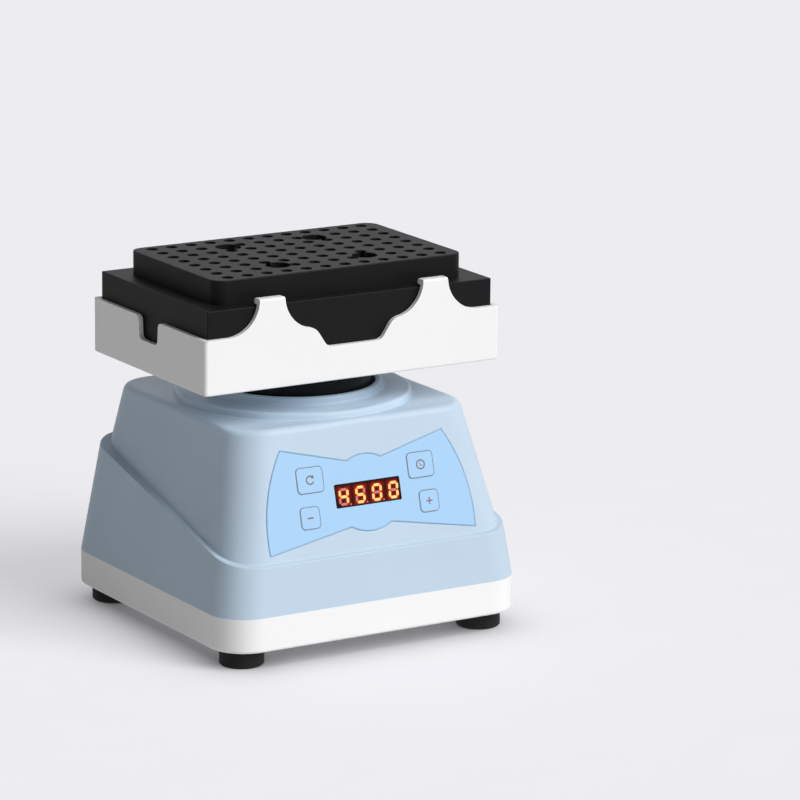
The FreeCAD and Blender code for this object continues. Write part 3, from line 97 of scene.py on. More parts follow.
# Panel, keys and display on the front face: across and up
PANEL_TOP = (36.5, 40.2)
PANEL_CREST = (7.7, 32.9)
PANEL_CREST_RADIUS = 15.8
PANEL_SIDE_RADIUS = 63.9
PANEL_BOTTOM = (46.4, 0.5)
PANEL_DIP = (9.0, 7.3)
PANEL_DIP_RADIUS = 17.5
PANEL_PLAY = 0.25
PANEL_PROUD = 0.1
PANEL_SEAT = 0.4
LINE_INSET = 0.1
PRINT_SINK = 0.05
KEYS = {
    "cycle": ((-25.0, 27.5), (6.0, 5.15)),
    "timer": ((25.0, 27.5), (6.0, 5.15)),
    "minus": ((-26.9, 13.0), (4.4, 4.4)),
    "plus": ((26.9, 13.0), (4.4, 4.4)),
}
KEY_CORNER = 1.8
KEY_PLAY = 0.3
KEY_PROUD = 0.25
KEY_SOFT = 0.15
FILM_PLAY = 0.06
KEY_FLANGE = 1.0
FLANGE_TOP = -2.42
FLANGE_LOW = -3.22
STEM_RADIUS = 1.5
STEM_LOW = -6.0
FRAME_INSET = 0.1
DISPLAY_HALF = (14.8, 4.65)
DISPLAY_CORNER = 0.6
DISPLAY_PLACE = (0.0, 19.7)
BEZEL = 0.55
BEZEL_SOFT = (0.15, 0.12)
WINDOW_OUT = -0.5

# Signs on the keys, as places round the middle of a key
MARK_HALF = 0.26
MINUS_HALF = 1.35
PLUS_HALF = 1.4
CLOCK_RADIUS = 1.75
CLOCK_HANDS = ((0, -0.2), (0, 1.15), (-0.3, 1.15), (-0.3, -0.2), (-0.3, -0.5), (1.0, -0.5), (1.0, -0.2))
ARROW_RADIUS = 1.6
ARROW_TURN = (55, 335)
ARROW_HEAD = ((1.95, 0.55), (0.3, 0.65), (1.25, 2.0))

# Figures of the display: halves from their middle to the middle of their outer segments
FIGURES = "4500"
FIGURE_PLACES = (-10.65, -3.15, 4.35, 11.85)
FIGURE_HALF = (1.72, 2.85)
FIGURE_RISE = 19.25
FIGURE_LEAN = 0.07
SEGMENT_HALF = 0.58
SEGMENT_GAP = 0.1
RIM = 0.2
POINT_PLACE = (2.75, -3.2)
POINT_RADIUS = 0.42
GLOW_STEP = 0.4
SEGMENTS = {
    "a": ((-1, 1), (1, 1)), "b": ((1, 1), (1, 0)), "c": ((1, 0), (1, -1)), "d": ((1, -1), (-1, -1)),
    "e": ((-1, -1), (-1, 0)), "f": ((-1, 0), (-1, 1)), "g": ((-1, 0), (1, 0)),
}
LIT_SEGMENTS = {"4": "bcfg", "5": "acdfg", "0": "abcdef"}

# Tray: its walls seen from the front and from the side
TRAY_BOTTOM = 105.4
TRAY_FLOOR = 107.4
TRAY_HALF = (66.3, 45.16)
TRAY_INSIDE = (64.3, 43.16)
TRAY_CORNER = 1.5
TRAY_FOOT = 0.8
TRAY_EDGE = 0.3
TAB_TOP = 141.0
TAB_ENDS = (31.1, 42.3)
TAB_SOFT = 0.6
TAB_BEND = 1.2
END_TOP = 127.2
END_SCOOP = 13.8
SHOULDER = (17.5, 127.4)
SHOULDER_SCOOP = 13.6
SHOULDER_TURN = 15.0
SHOULDER_SOFT = 3.2
NOTCH = (12.2, 119.25)
NOTCH_SOFT = 2.4
SIDE_NOTCH = (7.3, 117.9)
SIDE_SHOULDER = (7.876, 127.2)
SIDE_SOFT = 2.5
LIP_NOSE = 40.76
LIP_LOW = 138.8
LIP_SOFT = 1.0
SCREW_PLACE = (19.6, 19.5)
SCREW_WAY = 1.65

# Rack: base block with its well and channels, and top plate with its holes
RACK_HALF = (63.88, 42.74)
RACK_SOFT = 0.45
RACK_CREASE = 0.36
RACK_SHOULDER = 137.9
RACK_WELL = (51.515, 33.6, 3.0)
RACK_WELL_LOW = 123.9
RACK_CHANNEL = (30.8, 42.6, 40.46)
RACK_TOP = 147.4
RACK_TOP_HALF = (56.0, 35.25)
RACK_TOP_CORNER = 5.5
RACK_TOP_SOFT = (0.1, 0.5)
ACCESS_RADIUS = 5.0
TUBE_COUNTS = (12, 8)
TUBE_PITCH = (8.73, 8.6)
TUBE_RADIUS = 2.3
CUT_OVER = 1.0

# Rocker's two faces in its off position, as places to the rear and up
ROCKER_FACES = {"off": ((57.95, 42.79), (58.11, 50.54)), "on": ((60.75, 35.57), (57.95, 42.79))}
OFF_RADIUS = 1.5
ON_HALF = 1.9
ROCKER_LINE = 0.22

# How finely the forms are divided, and the angles in degrees from which an edge counts as one
CORNER_STEPS = 12
SIDE_STEPS = 6
HOUSING_SIDE_STEPS = 24
BLOCK_CORNER_STEPS = 8
KEY_STEPS = (6, 2)
DISPLAY_STEPS = (4, 2)
SOFT_STEPS = 5
ARC_STEPS = 24
MARK_STEPS = 40
RING_STEPS = 32
STEM_STEPS = 24
POINT_STEPS = 16
SOCKET_STEPS = 48
SCREW_WAY_STEPS = 24
ACCESS_STEPS = 40
ACCESS_MOUTH_STEPS = 48
TUBE_STEPS = 28
WINDOW_GRID = (160, 48)
LEDGE_ROUNDS = 12
SHARP_ANGLE = 34.0
EDGE_ANGLE = 40.0

# Stage: the floor and its mask of shade, the backdrop, the lamp, and the photograph's camera
FLOOR_SIDE = 8.0
FLOOR_LEVEL = -0.02
SHADE_REACH = 260.0
SHADE_GRAIN = 4.0
SHADE_INSIDE = 6.0
SHADE_STEP = 6.5
UNDER_GLOW = 0.08
FLOOR_ROUGHNESS = 0.9
FLOOR_TONE = 0.97
BACKDROP = (0.86, 0.85, 0.88)
BEHIND = (0.506, 0.862, 0.0)
BEHIND_START = 0.2
BEHIND_RISE = 2.5
LAMP_FROM = (0.365, -0.686, 0.63)
LAMP_WIDTH = 40.0
CAMERA_ANGLES = (-31.726, 13.686, 0.589)
CAMERA_PLACE = (-0.8945, -1.5257, 0.5180)
CAMERA_LENS = 206.48


# Colours and sizes that a user would change
def colour_setting(name, description, value):
    """A colour that a user may change."""
    return FloatVectorProperty(
        name=name, description=description, subtype="COLOR", size=3, min=0.0, max=1.0, default=value
    )


def length_setting(name, description, value):
    """A length that a user may change, with its default in millimetres."""
    return FloatProperty(
        name=name, description=description, subtype="DISTANCE", unit="LENGTH", min=0.0, default=value * MM
    )


class MixerColours(PropertyGroup):
    housing: colour_setting("Housing", "Light blue of the moulded housing", (0.535, 0.660, 0.785))
    white: colour_setting("White plastic", "White of the base pan and the tray", (0.940, 0.940, 0.941))
    panel: colour_setting("Panel film", "Sky blue of the control panel and the keys", (0.375, 0.620, 0.890))
    # Painted shade: a darker line just inside the panel's edge, for the shadow of the gap round the film
    panel_painted_shade_line: colour_setting("Panel line", "Darker line round the control panel", (0.250, 0.400, 0.560))
    key_line: colour_setting("Key line", "Print on the keys", (0.200, 0.130, 0.125))
    rack: colour_setting("Rack", "Black of the tube rack", (0.008, 0.008, 0.009))
    rubber: colour_setting("Rubber", "Black of the feet", (0.008, 0.008, 0.008))
    drum: colour_setting("Drum", "Black of the drive drum", (0.008, 0.008, 0.009))
    window: colour_setting("Display window", "Dark red of the display window", (0.008, 0.001, 0.001))
    glow: colour_setting("Glow", "Red light round the lit figures", (0.360, 0.006, 0.001))
    lit: colour_setting("Lit figures", "Colour of the core of the lit segments", (1.000, 0.780, 0.260))
    lit_rim: colour_setting("Lit rim", "Colour of the rim of the lit segments", (0.950, 0.200, 0.015))
    # Segments that are not lit still glow: a painted glow, brighter over their core than their rim
    unlit: colour_setting("Unlit figures", "Colour of the core of the unlit segments", (0.620, 0.190, 0.150))
    unlit_rim: colour_setting("Unlit rim", "Colour of the rim of the unlit segments", (0.250, 0.020, 0.015))
    floor: colour_setting("Floor", "Pale floor", (0.830, 0.825, 0.855))


class MixerSizes(PropertyGroup):
    print_height: length_setting("Print height", "How far the print stands on its film", 0.02)
    # Width of the painted shade line round the panel
    panel_painted_shade_line: length_setting("Panel line", "Width of the line round the panel", 0.22)
    key_line: length_setting("Key line", "Width of the printed key frames", 0.25)
    hole_chamfer: length_setting("Hole chamfer", "Chamfer at the mouths of the tube holes", 0.2)


class MixerStage(PropertyGroup):
    sky: FloatProperty(name="Sky", description="Strength of the even light", min=0.0, default=0.155)
    key: FloatProperty(name="Key lamp", description="Strength of the front lamp", min=0.0, default=2.88)
    bounce: FloatProperty(
        name="Floor bounce", description="Share of its colour that the floor throws back", min=0.0,
        max=1.0, default=0.51,
    )
    floor_glow: FloatProperty(
        name="Floor glow", description="Share of its colour that the floor shows in full shade", min=0.0,
        max=1.0, default=0.645,
    )
    floor_fill: FloatProperty(
        name="Floor fill", description="Even light that the floor adds from below", min=0.0, default=0.25,
    )


def colours():
    """The colours as they are set now."""
    return bpy.context.scene.mixer_colours


def sizes():
    """The sizes as they are set now."""
    return bpy.context.scene.mixer_sizes


# Meshes
def grid_faces(rows, columns, closed=True):
    """Corner numbers of the four-sided faces of a grid of points, joined round if closed."""
    row, column = np.meshgrid(
        np.arange(rows - 1), np.arange(columns if closed else columns - 1), indexing="ij"
    )
    after = (column + 1) % columns
    here, ahead = row * columns, (row + 1) * columns
    corners = [here + column, here + after, ahead + after, ahead + column]
    return np.stack(corners, -1).reshape(-1, 4)


def surface(rows, closed=True, capped=False, ring=False):
    """Part of a mesh: rows of points, each joined to the next. Caps close the first and the last row,
    and a ring joins the last row to the first."""
    grid = np.asarray(rows, float)
    count, columns = grid.shape[:2]
    faces = grid_faces(count, columns, closed).tolist()
    if ring:
        last = (count - 1) * columns
        for column in range(columns):
            after = (column + 1) % columns
            faces.append([last + column, last + after, after, column])
    if capped:
        faces.append(list(range(columns))[::-1])
        faces.append(list(range((count - 1) * columns, count * columns)))
    return grid.reshape(-1, 3), faces


def make_mesh(name, parts):
    """One mesh of several parts, put in as whole arrays."""
    points = np.concatenate([part[0] for part in parts]) * MM
    starts = np.cumsum([0] + [len(part[0]) for part in parts[:-1]])
    faces = [[corner + start for corner in face] for part, start in zip(parts, starts) for face in part[1]]
    totals = np.array([len(face) for face in faces], np.int32)
    mesh = bpy.data.meshes.new(name)
    mesh.vertices.add(len(points))
    mesh.vertices.foreach_set("co", points.astype(np.float32).ravel())
    mesh.loops.add(int(totals.sum()))
    mesh.loops.foreach_set("vertex_index", np.concatenate(faces).astype(np.int32))
    mesh.polygons.add(len(faces))
    mesh.polygons.foreach_set("loop_start", np.concatenate([[0], np.cumsum(totals)[:-1]]).astype(np.int32))
    mesh.polygons.foreach_set("loop_total", totals)
    mesh.update(calc_edges=True)
    mesh.validate()
    return mesh


def add_mask(mesh, name, values):
    """A value from 0 to 1 for each point of the mesh, which its material reads."""
    mask = mesh.attributes.new(name, "FLOAT", "POINT")
    mask.data.foreach_set("value", np.asarray(values, np.float32))


def add_piece(name, mesh, body, material, replaces=()):
    """A finished piece at the origin: smooth except at its sharp edges."""
    mesh.polygons.foreach_set("use_smooth", np.ones(len(mesh.polygons), bool))
    mesh.set_sharp_from_angle(angle=math.radians(SHARP_ANGLE))
    mesh.materials.clear()
    mesh.materials.append(material)
    piece = bpy.data.objects.new(name, mesh)
    bpy.context.scene.collection.objects.link(piece)
    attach(piece, body)
    if replaces:
        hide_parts(*replaces)
    return piece


def level_flats(piece):
    """Keep flat faces flat in shading beside their rounded edges."""
    leveller = piece.modifiers.new("flats", "WEIGHTED_NORMAL")
    leveller.keep_sharp = True
    leveller.weight = 100


def round_edges(piece, width):
    """Round all edges of a carved piece a little."""
    rounding = piece.modifiers.new("edges", "BEVEL")
    rounding.width = width * MM
    rounding.segments = 2
    rounding.limit_method = "ANGLE"
    rounding.angle_limit = math.radians(EDGE_ANGLE)
    level_flats(piece)


def carve(name, parts, cutters):
    """The mesh of the parts with the cutters taken away."""
    block = bpy.data.objects.new(name, make_mesh(name, parts))
    tool = bpy.data.objects.new(f"{name}_cut", make_mesh(f"{name}_cut", cutters))
    for item in (block, tool):
        bpy.context.scene.collection.objects.link(item)
    step = block.modifiers.new("carve", "BOOLEAN")
    step.operation = "DIFFERENCE"
    step.solver = "EXACT"
    step.use_self = True
    step.object = tool
    bpy.context.view_layer.update()
    seen = block.evaluated_get(bpy.context.evaluated_depsgraph_get())
    mesh = bpy.data.meshes.new_from_object(seen)
    for item in (block, tool):
        data = item.data
        bpy.data.objects.remove(item)
        bpy.data.meshes.remove(data)
    return mesh


# Outlines and profiles. A rounded crease may use these shares of the runs beside it.
HALF_RUN = 0.49
WHOLE_RUN = 0.96
SHORTEST_RUN = 1e-9
CAP_INSET = 0.9


def rounded_frame(corner_steps, side_steps):
    """A rounded rectangle in unit form, anticlockwise: for each point the corner that it leans on,
    with parts between -1 and 1 along the sides, and its outward direction."""
    lean = []
    out = []
    signs = [(1, 1), (-1, 1), (-1, -1), (1, -1)]
    for number, sign in enumerate(signs):
        turn = math.radians(90 * number) + np.linspace(0, math.pi / 2, corner_steps + 1)
        lean.append(np.tile(np.array(sign, float), (corner_steps + 1, 1)))
        out.append(np.stack([np.cos(turn), np.sin(turn)], 1))
        part = (np.arange(1, side_steps) / side_steps)[:, None]
        following = np.array(signs[(number + 1) % 4], float)
        lean.append(np.array(sign, float) * (1 - part) + following * part)
        out.append(np.tile(out[-1][-1], (side_steps - 1, 1)))
    return np.concatenate(lean), np.concatenate(out)


def rounded_loop(
    half_x, half_y, radius, level, centre=(0.0, 0.0), corner_steps=CORNER_STEPS, side_steps=SIDE_STEPS
):
    """Rounded rectangle at a level: each point is its corner's centre plus the radius outwards."""
    lean, out = rounded_frame(corner_steps, side_steps)
    flat = np.array(centre) + lean * (np.array([half_x, half_y]) - radius) + out * radius
    return np.column_stack([flat, np.full(len(flat), float(level))])


def circle_loop(radius, level, centre=(0.0, 0.0), steps=RING_STEPS):
    """Circle at a level: each point is the centre plus the radius along an even turn."""
    turn = np.linspace(0, 2 * math.pi, steps, endpoint=False)
    return np.column_stack(
        [centre[0] + radius * np.cos(turn), centre[1] + radius * np.sin(turn), np.full(steps, float(level))]
    )


def lathe(profile, centre, steps):
    """A closed turned form: the profile of radius and height goes round an upright axis."""
    return surface([circle_loop(radius, level, centre, steps) for radius, level in profile], capped=True)


def soften(rows, reaches):
    """Rows of points with their creases rounded. Each inner row is replaced by rows of a parabola that
    leaves the run before it and joins the run after it at the reach. Two rounded creases share a run,
    and a crease with a plain one beyond it may use nearly all of it."""
    rows = [np.asarray(row, float) for row in rows]
    beside = [0, *reaches, 0]
    made = [rows[0]]
    for number, reach in enumerate(reaches, start=1):
        here = rows[number]
        if reach == 0:
            made.append(here)
            continue
        ends = []
        for other in (number - 1, number + 1):
            run = rows[other] - here
            share = HALF_RUN if beside[other] else WHOLE_RUN
            length = np.maximum(np.linalg.norm(run, axis=-1, keepdims=True), SHORTEST_RUN)
            ends.append(here + run * np.minimum(reach / length, share))
        for t in np.linspace(0, 1, SOFT_STEPS + 1):
            made.append((1 - t) ** 2 * ends[0] + 2 * t * (1 - t) * here + t * t * ends[1])
    made.append(rows[-1])
    return made


# The leaning front face: across, up the face and out of it
FACE_LENGTH = math.hypot(FACE_RISE, FACE_RUN)
FACE_UP = np.array([0.0, FACE_RUN, FACE_RISE]) / FACE_LENGTH
FACE_OUT = np.array([0.0, -FACE_RISE, FACE_RUN]) / FACE_LENGTH
FACE_ACROSS = np.array([1.0, 0.0, 0.0])


def on_face(points):
    """Points given as across, up and out, set on the front face."""
    points = np.asarray(points, float)
    return FACE_ORIGIN + points @ np.array([FACE_ACROSS, FACE_UP, FACE_OUT])


def on_face_part(part):
    """A part of a mesh, given as across, up and out, set on the front face."""
    return on_face(part[0]), part[1]


def both_sides(place):
    """The place with all four signs of its two parts."""
    return [(x * place[0], y * place[1]) for x in (-1, 1) for y in (-1, 1)]


def prism(outline, axes, low, high):
    """A closed block: an anticlockwise outline drawn in two axes and stretched along the third."""
    first, second = axes
    ends = (low, high) if (second - first) % 3 == 1 else (high, low)
    rows = []
    for end in ends:
        row = np.full((len(outline), 3), float(end))
        row[:, [first, second]] = outline
        rows.append(row)
    return surface(rows, capped=True)


def soft_block(half, corner, low, high, reaches):
    """A rounded block between two levels, with its lower and upper edges softened."""
    inner = CAP_INSET * corner
    rows = []
    for inset, level in ((inner, low), (0, low), (0, high), (inner, high)):
        sides = half[0] - inset, half[1] - inset
        rows.append(rounded_loop(*sides, corner - inset, level, corner_steps=BLOCK_CORNER_STEPS))
    return surface(soften(rows, reaches), capped=True)


def turned_points(centre, radius, first, last):
    """Points of an arc round a centre, between two angles in degrees."""
    turn = np.radians(np.linspace(first, last, ARC_STEPS + 1))
    return (np.array(centre) + radius * np.column_stack([np.cos(turn), np.sin(turn)])).tolist()


def mirrored(outline):
    """The outline on the other side of the middle, run the other way to stay anticlockwise."""
    return [(-x, y) for x, y in outline[::-1]]


def with_mirror(half):
    """A whole outline: the mirror image of its right half, and then that half."""
    return mirrored(half) + [tuple(point) for point in half]


# Node groups that several materials share
def node_group(name, inputs, outputs):
    """A new group with number inputs, given with their defaults, and number outputs."""
    group = bpy.data.node_groups.new(name, "ShaderNodeTree")
    for label, value in inputs.items():
        socket = group.interface.new_socket(name=label, in_out="INPUT", socket_type="NodeSocketFloat")
        socket.default_value = value
    for label in outputs:
        group.interface.new_socket(name=label, in_out="OUTPUT", socket_type="NodeSocketFloat")
    entry = group.nodes.new("NodeGroupInput")
    leave = group.nodes.new("NodeGroupOutput")
    return group, entry.outputs, leave.inputs


def feed(links, socket, value):
    """Give a socket a plain value, or what another socket puts out."""
    if isinstance(value, bpy.types.NodeSocket):
        links.new(value, socket)
    else:
        socket.default_value = value


def math_node(nodes, links, operation, *values, clamp=False):
    """One step of arithmetic on values or on what other sockets put out."""
    node = nodes.new("ShaderNodeMath")
    node.operation = operation
    node.use_clamp = clamp
    for socket, value in zip(node.inputs, values):
        feed(links, socket, value)
    return node.outputs[0]


def noise(nodes, links, place, scale, detail, roughness=0.5):
    """Soft noise at a place, between 0 and 1."""
    node = nodes.new("ShaderNodeTexNoise")
    links.new(place, node.inputs["Vector"])
    feed(links, node.inputs["Scale"], scale)
    node.inputs["Detail"].default_value = detail
    node.inputs["Roughness"].default_value = roughness
    return node.outputs["Fac"]


def object_place(nodes):
    """The place on the piece, in the piece's own coordinates."""
    return nodes.new("ShaderNodeTexCoord").outputs["Object"]


def grain_group():
    """Fine moulded grain, with slow waves of the surface under it."""
    inputs = {"Scale": 3500.0, "Waves": 0.3}
    group, given, result = node_group("moulded_grain", inputs, ["Height", "Tone"])
    nodes, links = group.nodes, group.links
    place = object_place(nodes)
    fine = noise(nodes, links, place, given["Scale"], detail=3.0, roughness=0.6)
    slow = noise(nodes, links, place, scale=90.0, detail=1.0)
    lifted = math_node(nodes, links, "MULTIPLY", slow, given["Waves"])
    links.new(math_node(nodes, links, "ADD", fine, lifted), result["Height"])
    links.new(noise(nodes, links, place, scale=35.0, detail=3.0), result["Tone"])
    return group


def wear_and_highlight_group():
    """Edges worn by hands and cloths and given a painted highlight: 1 on outer edges, broken up by noise, 0
    elsewhere.
    """
    group, given, result = node_group("edge_wear_and_highlight", {"Reach": 0.0006, "Amount": 0.5}, ["Mask"])
    nodes, links = group.nodes, group.links
    rounded = nodes.new("ShaderNodeBevel")
    rounded.samples = 6
    links.new(given["Reach"], rounded.inputs["Radius"])
    flat = nodes.new("ShaderNodeNewGeometry").outputs["Normal"]
    product = nodes.new("ShaderNodeVectorMath")
    product.operation = "DOT_PRODUCT"
    links.new(rounded.outputs["Normal"], product.inputs[0])
    links.new(flat, product.inputs[1])
    turned = math_node(nodes, links, "SUBTRACT", 1.0, product.outputs["Value"], clamp=True)
    strong = math_node(nodes, links, "MULTIPLY", turned, 5.0, clamp=True)
    patches = noise(nodes, links, object_place(nodes), scale=300.0, detail=4.0, roughness=0.7)
    broken = math_node(nodes, links, "MULTIPLY", strong, patches)
    links.new(math_node(nodes, links, "MULTIPLY", broken, given["Amount"], clamp=True), result["Mask"])
    return group


def smudge_group():
    """Slow change of gloss where the surface has been touched and wiped."""
    group, given, result = node_group("smudges", {"Roughness": 0.4, "Change": 0.08}, ["Roughness"])
    nodes, links = group.nodes, group.links
    blotch = noise(nodes, links, object_place(nodes), scale=60.0, detail=5.0, roughness=0.6)
    centred = math_node(nodes, links, "SUBTRACT", blotch, 0.5)
    scaled = math_node(nodes, links, "MULTIPLY", centred, given["Change"])
    changed = math_node(nodes, links, "ADD", given["Roughness"], scaled, clamp=True)
    links.new(changed, result["Roughness"])
    return group


def brushed_group():
    """Lines left by turning or rolling: noise stretched along X and Y."""
    group, given, result = node_group("brushed_lines", {"Scale": 900.0}, ["Height"])
    nodes, links = group.nodes, group.links
    stretch = nodes.new("ShaderNodeMapping")
    stretch.inputs["Scale"].default_value = (0.05, 0.05, 1.0)
    links.new(object_place(nodes), stretch.inputs["Vector"])
    lines = noise(nodes, links, stretch.outputs["Vector"], given["Scale"], detail=4.0, roughness=0.7)
    links.new(lines, result["Height"])
    return group


GROUPS = {}
GROUP_MAKERS = {"grain": grain_group, "wear_and_highlight": wear_and_highlight_group, "smudges": smudge_group, "brushed": brushed_group}


def place_group(nodes, name, **values):
    """A node of a shared group, which is made when it is first asked for."""
    if name not in GROUPS:
        GROUPS[name] = GROUP_MAKERS[name]()
    node = nodes.new("ShaderNodeGroup")
    node.node_tree = GROUPS[name]
    for label, value in values.items():
        node.inputs[label].default_value = value
    return node


# Materials
def new_material(name):
    """A new material with its nodes, its links and its shader."""
    material = bpy.data.materials.new(name)
    material.use_nodes = True
    tree = material.node_tree
    return material, tree.nodes, tree.links, tree.nodes["Principled BSDF"]


def blend_colours(nodes, links, factor, first, second):
    """The first colour where the factor is 0, going over to the second where it is 1."""
    node = nodes.new("ShaderNodeMix")
    node.data_type = "RGBA"
    links.new(factor, node.inputs["Factor"])
    for label, value in (("A", first), ("B", second)):
        mixed = isinstance(value, bpy.types.NodeSocket)
        feed(links, node.inputs[label], value if mixed else (*value, 1.0))
    return node.outputs["Result"]


def tint(colour, factor):
    """The colour times a factor, but no brighter than 1."""
    return tuple(min(1.0, channel * factor) for channel in colour)


def toned(nodes, links, grain, colour, tone):
    """The colour, which goes a little darker and lighter over the surface."""
    darker, lighter = tint(colour, tone), tint(colour, 2 - tone)
    return blend_colours(nodes, links, grain.outputs["Tone"], darker, lighter)


def rub_and_highlight(nodes, links, shader, body, rubbed_and_lit, wear_and_highlight):
    """Give a shader its colour, with another one on worn edges that carry a painted highlight."""
    mask = place_group(nodes, "wear_and_highlight", Amount=wear_and_highlight).outputs["Mask"]
    links.new(blend_colours(nodes, links, mask, body, rubbed_and_lit), shader.inputs["Base Color"])


def smudge(nodes, links, shader, roughness, **values):
    """Give a shader its roughness, which changes slowly over the surface."""
    sheen = place_group(nodes, "smudges", Roughness=roughness, **values)
    links.new(sheen.outputs["Roughness"], shader.inputs["Roughness"])


def bump(nodes, links, shader, height, distance):
    """Give a shader the relief of a height, with its depth in millimetres."""
    node = nodes.new("ShaderNodeBump")
    node.inputs["Distance"].default_value = distance * MM
    links.new(height, node.inputs["Height"])
    links.new(node.outputs["Normal"], shader.inputs["Normal"])


def plastic(
    name, colour, roughness, grain=3500.0, depth=0.004, wear_and_highlight=0.3, wear_and_highlight_tint=1.25, tone=0.96, gloss=0.5
):
    """Moulded plastic: faint change of tone, fine grain, worn edges lightened partly as a painted highlight,
    and uneven gloss.
    """
    material, nodes, links, shader = new_material(name)
    fine = place_group(nodes, "grain", Scale=grain)
    body = toned(nodes, links, fine, colour, tone)
    rub_and_highlight(nodes, links, shader, body, tint(colour, wear_and_highlight_tint), wear_and_highlight)
    smudge(nodes, links, shader, roughness)
    shader.inputs["Specular IOR Level"].default_value = gloss
    bump(nodes, links, shader, fine.outputs["Height"], depth)
    return material


def metal(name, colour, roughness, lines=900.0, depth=0.003):
    """Bare or plated metal with fine lines."""
    material, nodes, links, shader = new_material(name)
    brushed = place_group(nodes, "brushed", Scale=lines)
    # Lighter edges: partly worn metal, partly a painted highlight
    rub_and_highlight(nodes, links, shader, colour, tint(colour, 1.3), wear_and_highlight=0.5)
    smudge(nodes, links, shader, roughness, Change=0.15)
    shader.inputs["Metallic"].default_value = 1.0
    bump(nodes, links, shader, brushed.outputs["Height"], depth)
    return material


def glowing(name, colour, low, high, attribute):
    """Dark window or figure whose light goes from low to high as the attribute goes from 0 to 1."""
    material, nodes, links, shader = new_material(name)
    fine = place_group(nodes, "grain", Scale=2500.0)
    links.new(toned(nodes, links, fine, colour, 0.9), shader.inputs["Base Color"])
    smudge(nodes, links, shader, 0.25)
    shader.inputs["Specular IOR Level"].default_value = 0.12
    shader.inputs["Emission Strength"].default_value = 1.0
    mask = nodes.new("ShaderNodeAttribute")
    mask.attribute_name = attribute
    links.new(blend_colours(nodes, links, mask.outputs["Fac"], low, high), shader.inputs["Emission Color"])
    return material


def board_material(name):
    """Green board with darker tracks."""
    material, nodes, links, shader = new_material(name)
    tracks = nodes.new("ShaderNodeTexBrick")
    tracks.inputs["Scale"].default_value = 300.0
    tracks.inputs["Mortar Size"].default_value = 0.04
    links.new(object_place(nodes), tracks.inputs["Vector"])
    mask = math_node(nodes, links, "GREATER_THAN", tracks.outputs["Fac"], 0.5)
    green, track = (0.010, 0.120, 0.045), (0.006, 0.070, 0.028)
    links.new(blend_colours(nodes, links, mask, green, track), shader.inputs["Base Color"])
    smudge(nodes, links, shader, 0.35)
    bump(nodes, links, shader, mask, 0.02)
    return material


MATERIALS = {}


def finish(name):
    """The finish of this name, made when it is first asked for."""
    c = colours()
    makers = {
        "housing": lambda: plastic("housing_blue", c.housing, 0.36, wear_and_highlight_tint=1.08, gloss=0.2),
        "white": lambda: plastic("moulded_white", c.white, 0.40, wear_and_highlight_tint=1.04, tone=0.985),
        "panel": lambda: plastic(
            "panel_film", c.panel, 0.38, grain=5000.0, depth=0.002, wear_and_highlight=0.1, tone=0.985
        ),
        "key": lambda: plastic(
            "key_film", c.panel, 0.36, grain=5000.0, depth=0.002, wear_and_highlight=0.15, wear_and_highlight_tint=1.1, tone=0.985
        ),
        # Painted shade along the edge of the panel film
        "panel_painted_shade_line": lambda: plastic("panel_painted_shade_line", c.panel_painted_shade_line, 0.5, wear_and_highlight=0.1),
        "key_line": lambda: plastic("key_line", c.key_line, 0.5, wear_and_highlight=0.1),
        # Black parts: their much lighter edges are partly worn and partly a painted highlight
        "rack": lambda: plastic(
            "rack_black", c.rack, 0.50, grain=2200.0, depth=0.010, wear_and_highlight=0.6, wear_and_highlight_tint=4.0, tone=0.85,
            gloss=0.16,
        ),
        "rubber": lambda: plastic(
            "foot_rubber", c.rubber, 0.62, grain=2600.0, depth=0.012, wear_and_highlight=0.5, wear_and_highlight_tint=3.0, tone=0.8,
            gloss=0.3,
        ),
        "drum": lambda: plastic(
            "drum_black", c.drum, 0.42, wear_and_highlight=0.4, wear_and_highlight_tint=3.0, tone=0.85, gloss=0.16
        ),
        "black": lambda: plastic(
            "moulded_black", (0.014, 0.014, 0.015), 0.42, wear_and_highlight=0.5, wear_and_highlight_tint=2.5, tone=0.85
        ),
        "bezel": lambda: plastic(
            "display_bezel", (0.006, 0.005, 0.006), 0.35, wear_and_highlight=0.2, wear_and_highlight_tint=2.0, tone=0.85, gloss=0.12
        ),
        "mark": lambda: plastic("white_mark", (0.75, 0.75, 0.75), 0.5, wear_and_highlight=0.1, wear_and_highlight_tint=1.0),
        "nylon": lambda: plastic("nylon", (0.72, 0.71, 0.66), 0.45),
        "window": lambda: glowing("display_window", c.window, c.window, c.glow, "glow"),
        "lit": lambda: glowing("lit_segments", (0.2, 0.05, 0.01), c.lit_rim, c.lit, "core"),
        # Painted glow: segments that are not lit give off a faint light, brighter over their core
        "unlit": lambda: glowing("unlit_segments", (0.1, 0.02, 0.02), c.unlit_rim, c.unlit, "core"),
        "screw": lambda: metal("screw_steel", (0.56, 0.56, 0.58), 0.32),
        "steel": lambda: metal("plated_steel", (0.50, 0.50, 0.52), 0.40),
        "aluminium": lambda: metal("machined_aluminium", (0.70, 0.70, 0.72), 0.35, lines=1400.0),
        "bearing": lambda: metal("bearing_steel", (0.62, 0.62, 0.64), 0.18, lines=2400.0, depth=0.001),
        "magnet": lambda: metal("magnet_grey", (0.10, 0.10, 0.105), 0.55),
        "copper": lambda: metal("winding_copper", (0.70, 0.30, 0.14), 0.35, lines=2200.0),
        "board": lambda: board_material("circuit_board"),
    }
    if name not in MATERIALS:
        MATERIALS[name] = makers[name]()
    return MATERIALS[name]


def dress(node, name):
    """Give a node of the frame its finish."""
    item = frame["nodes"][node]
    item.data.materials.clear()
    item.data.materials.append(finish(name))


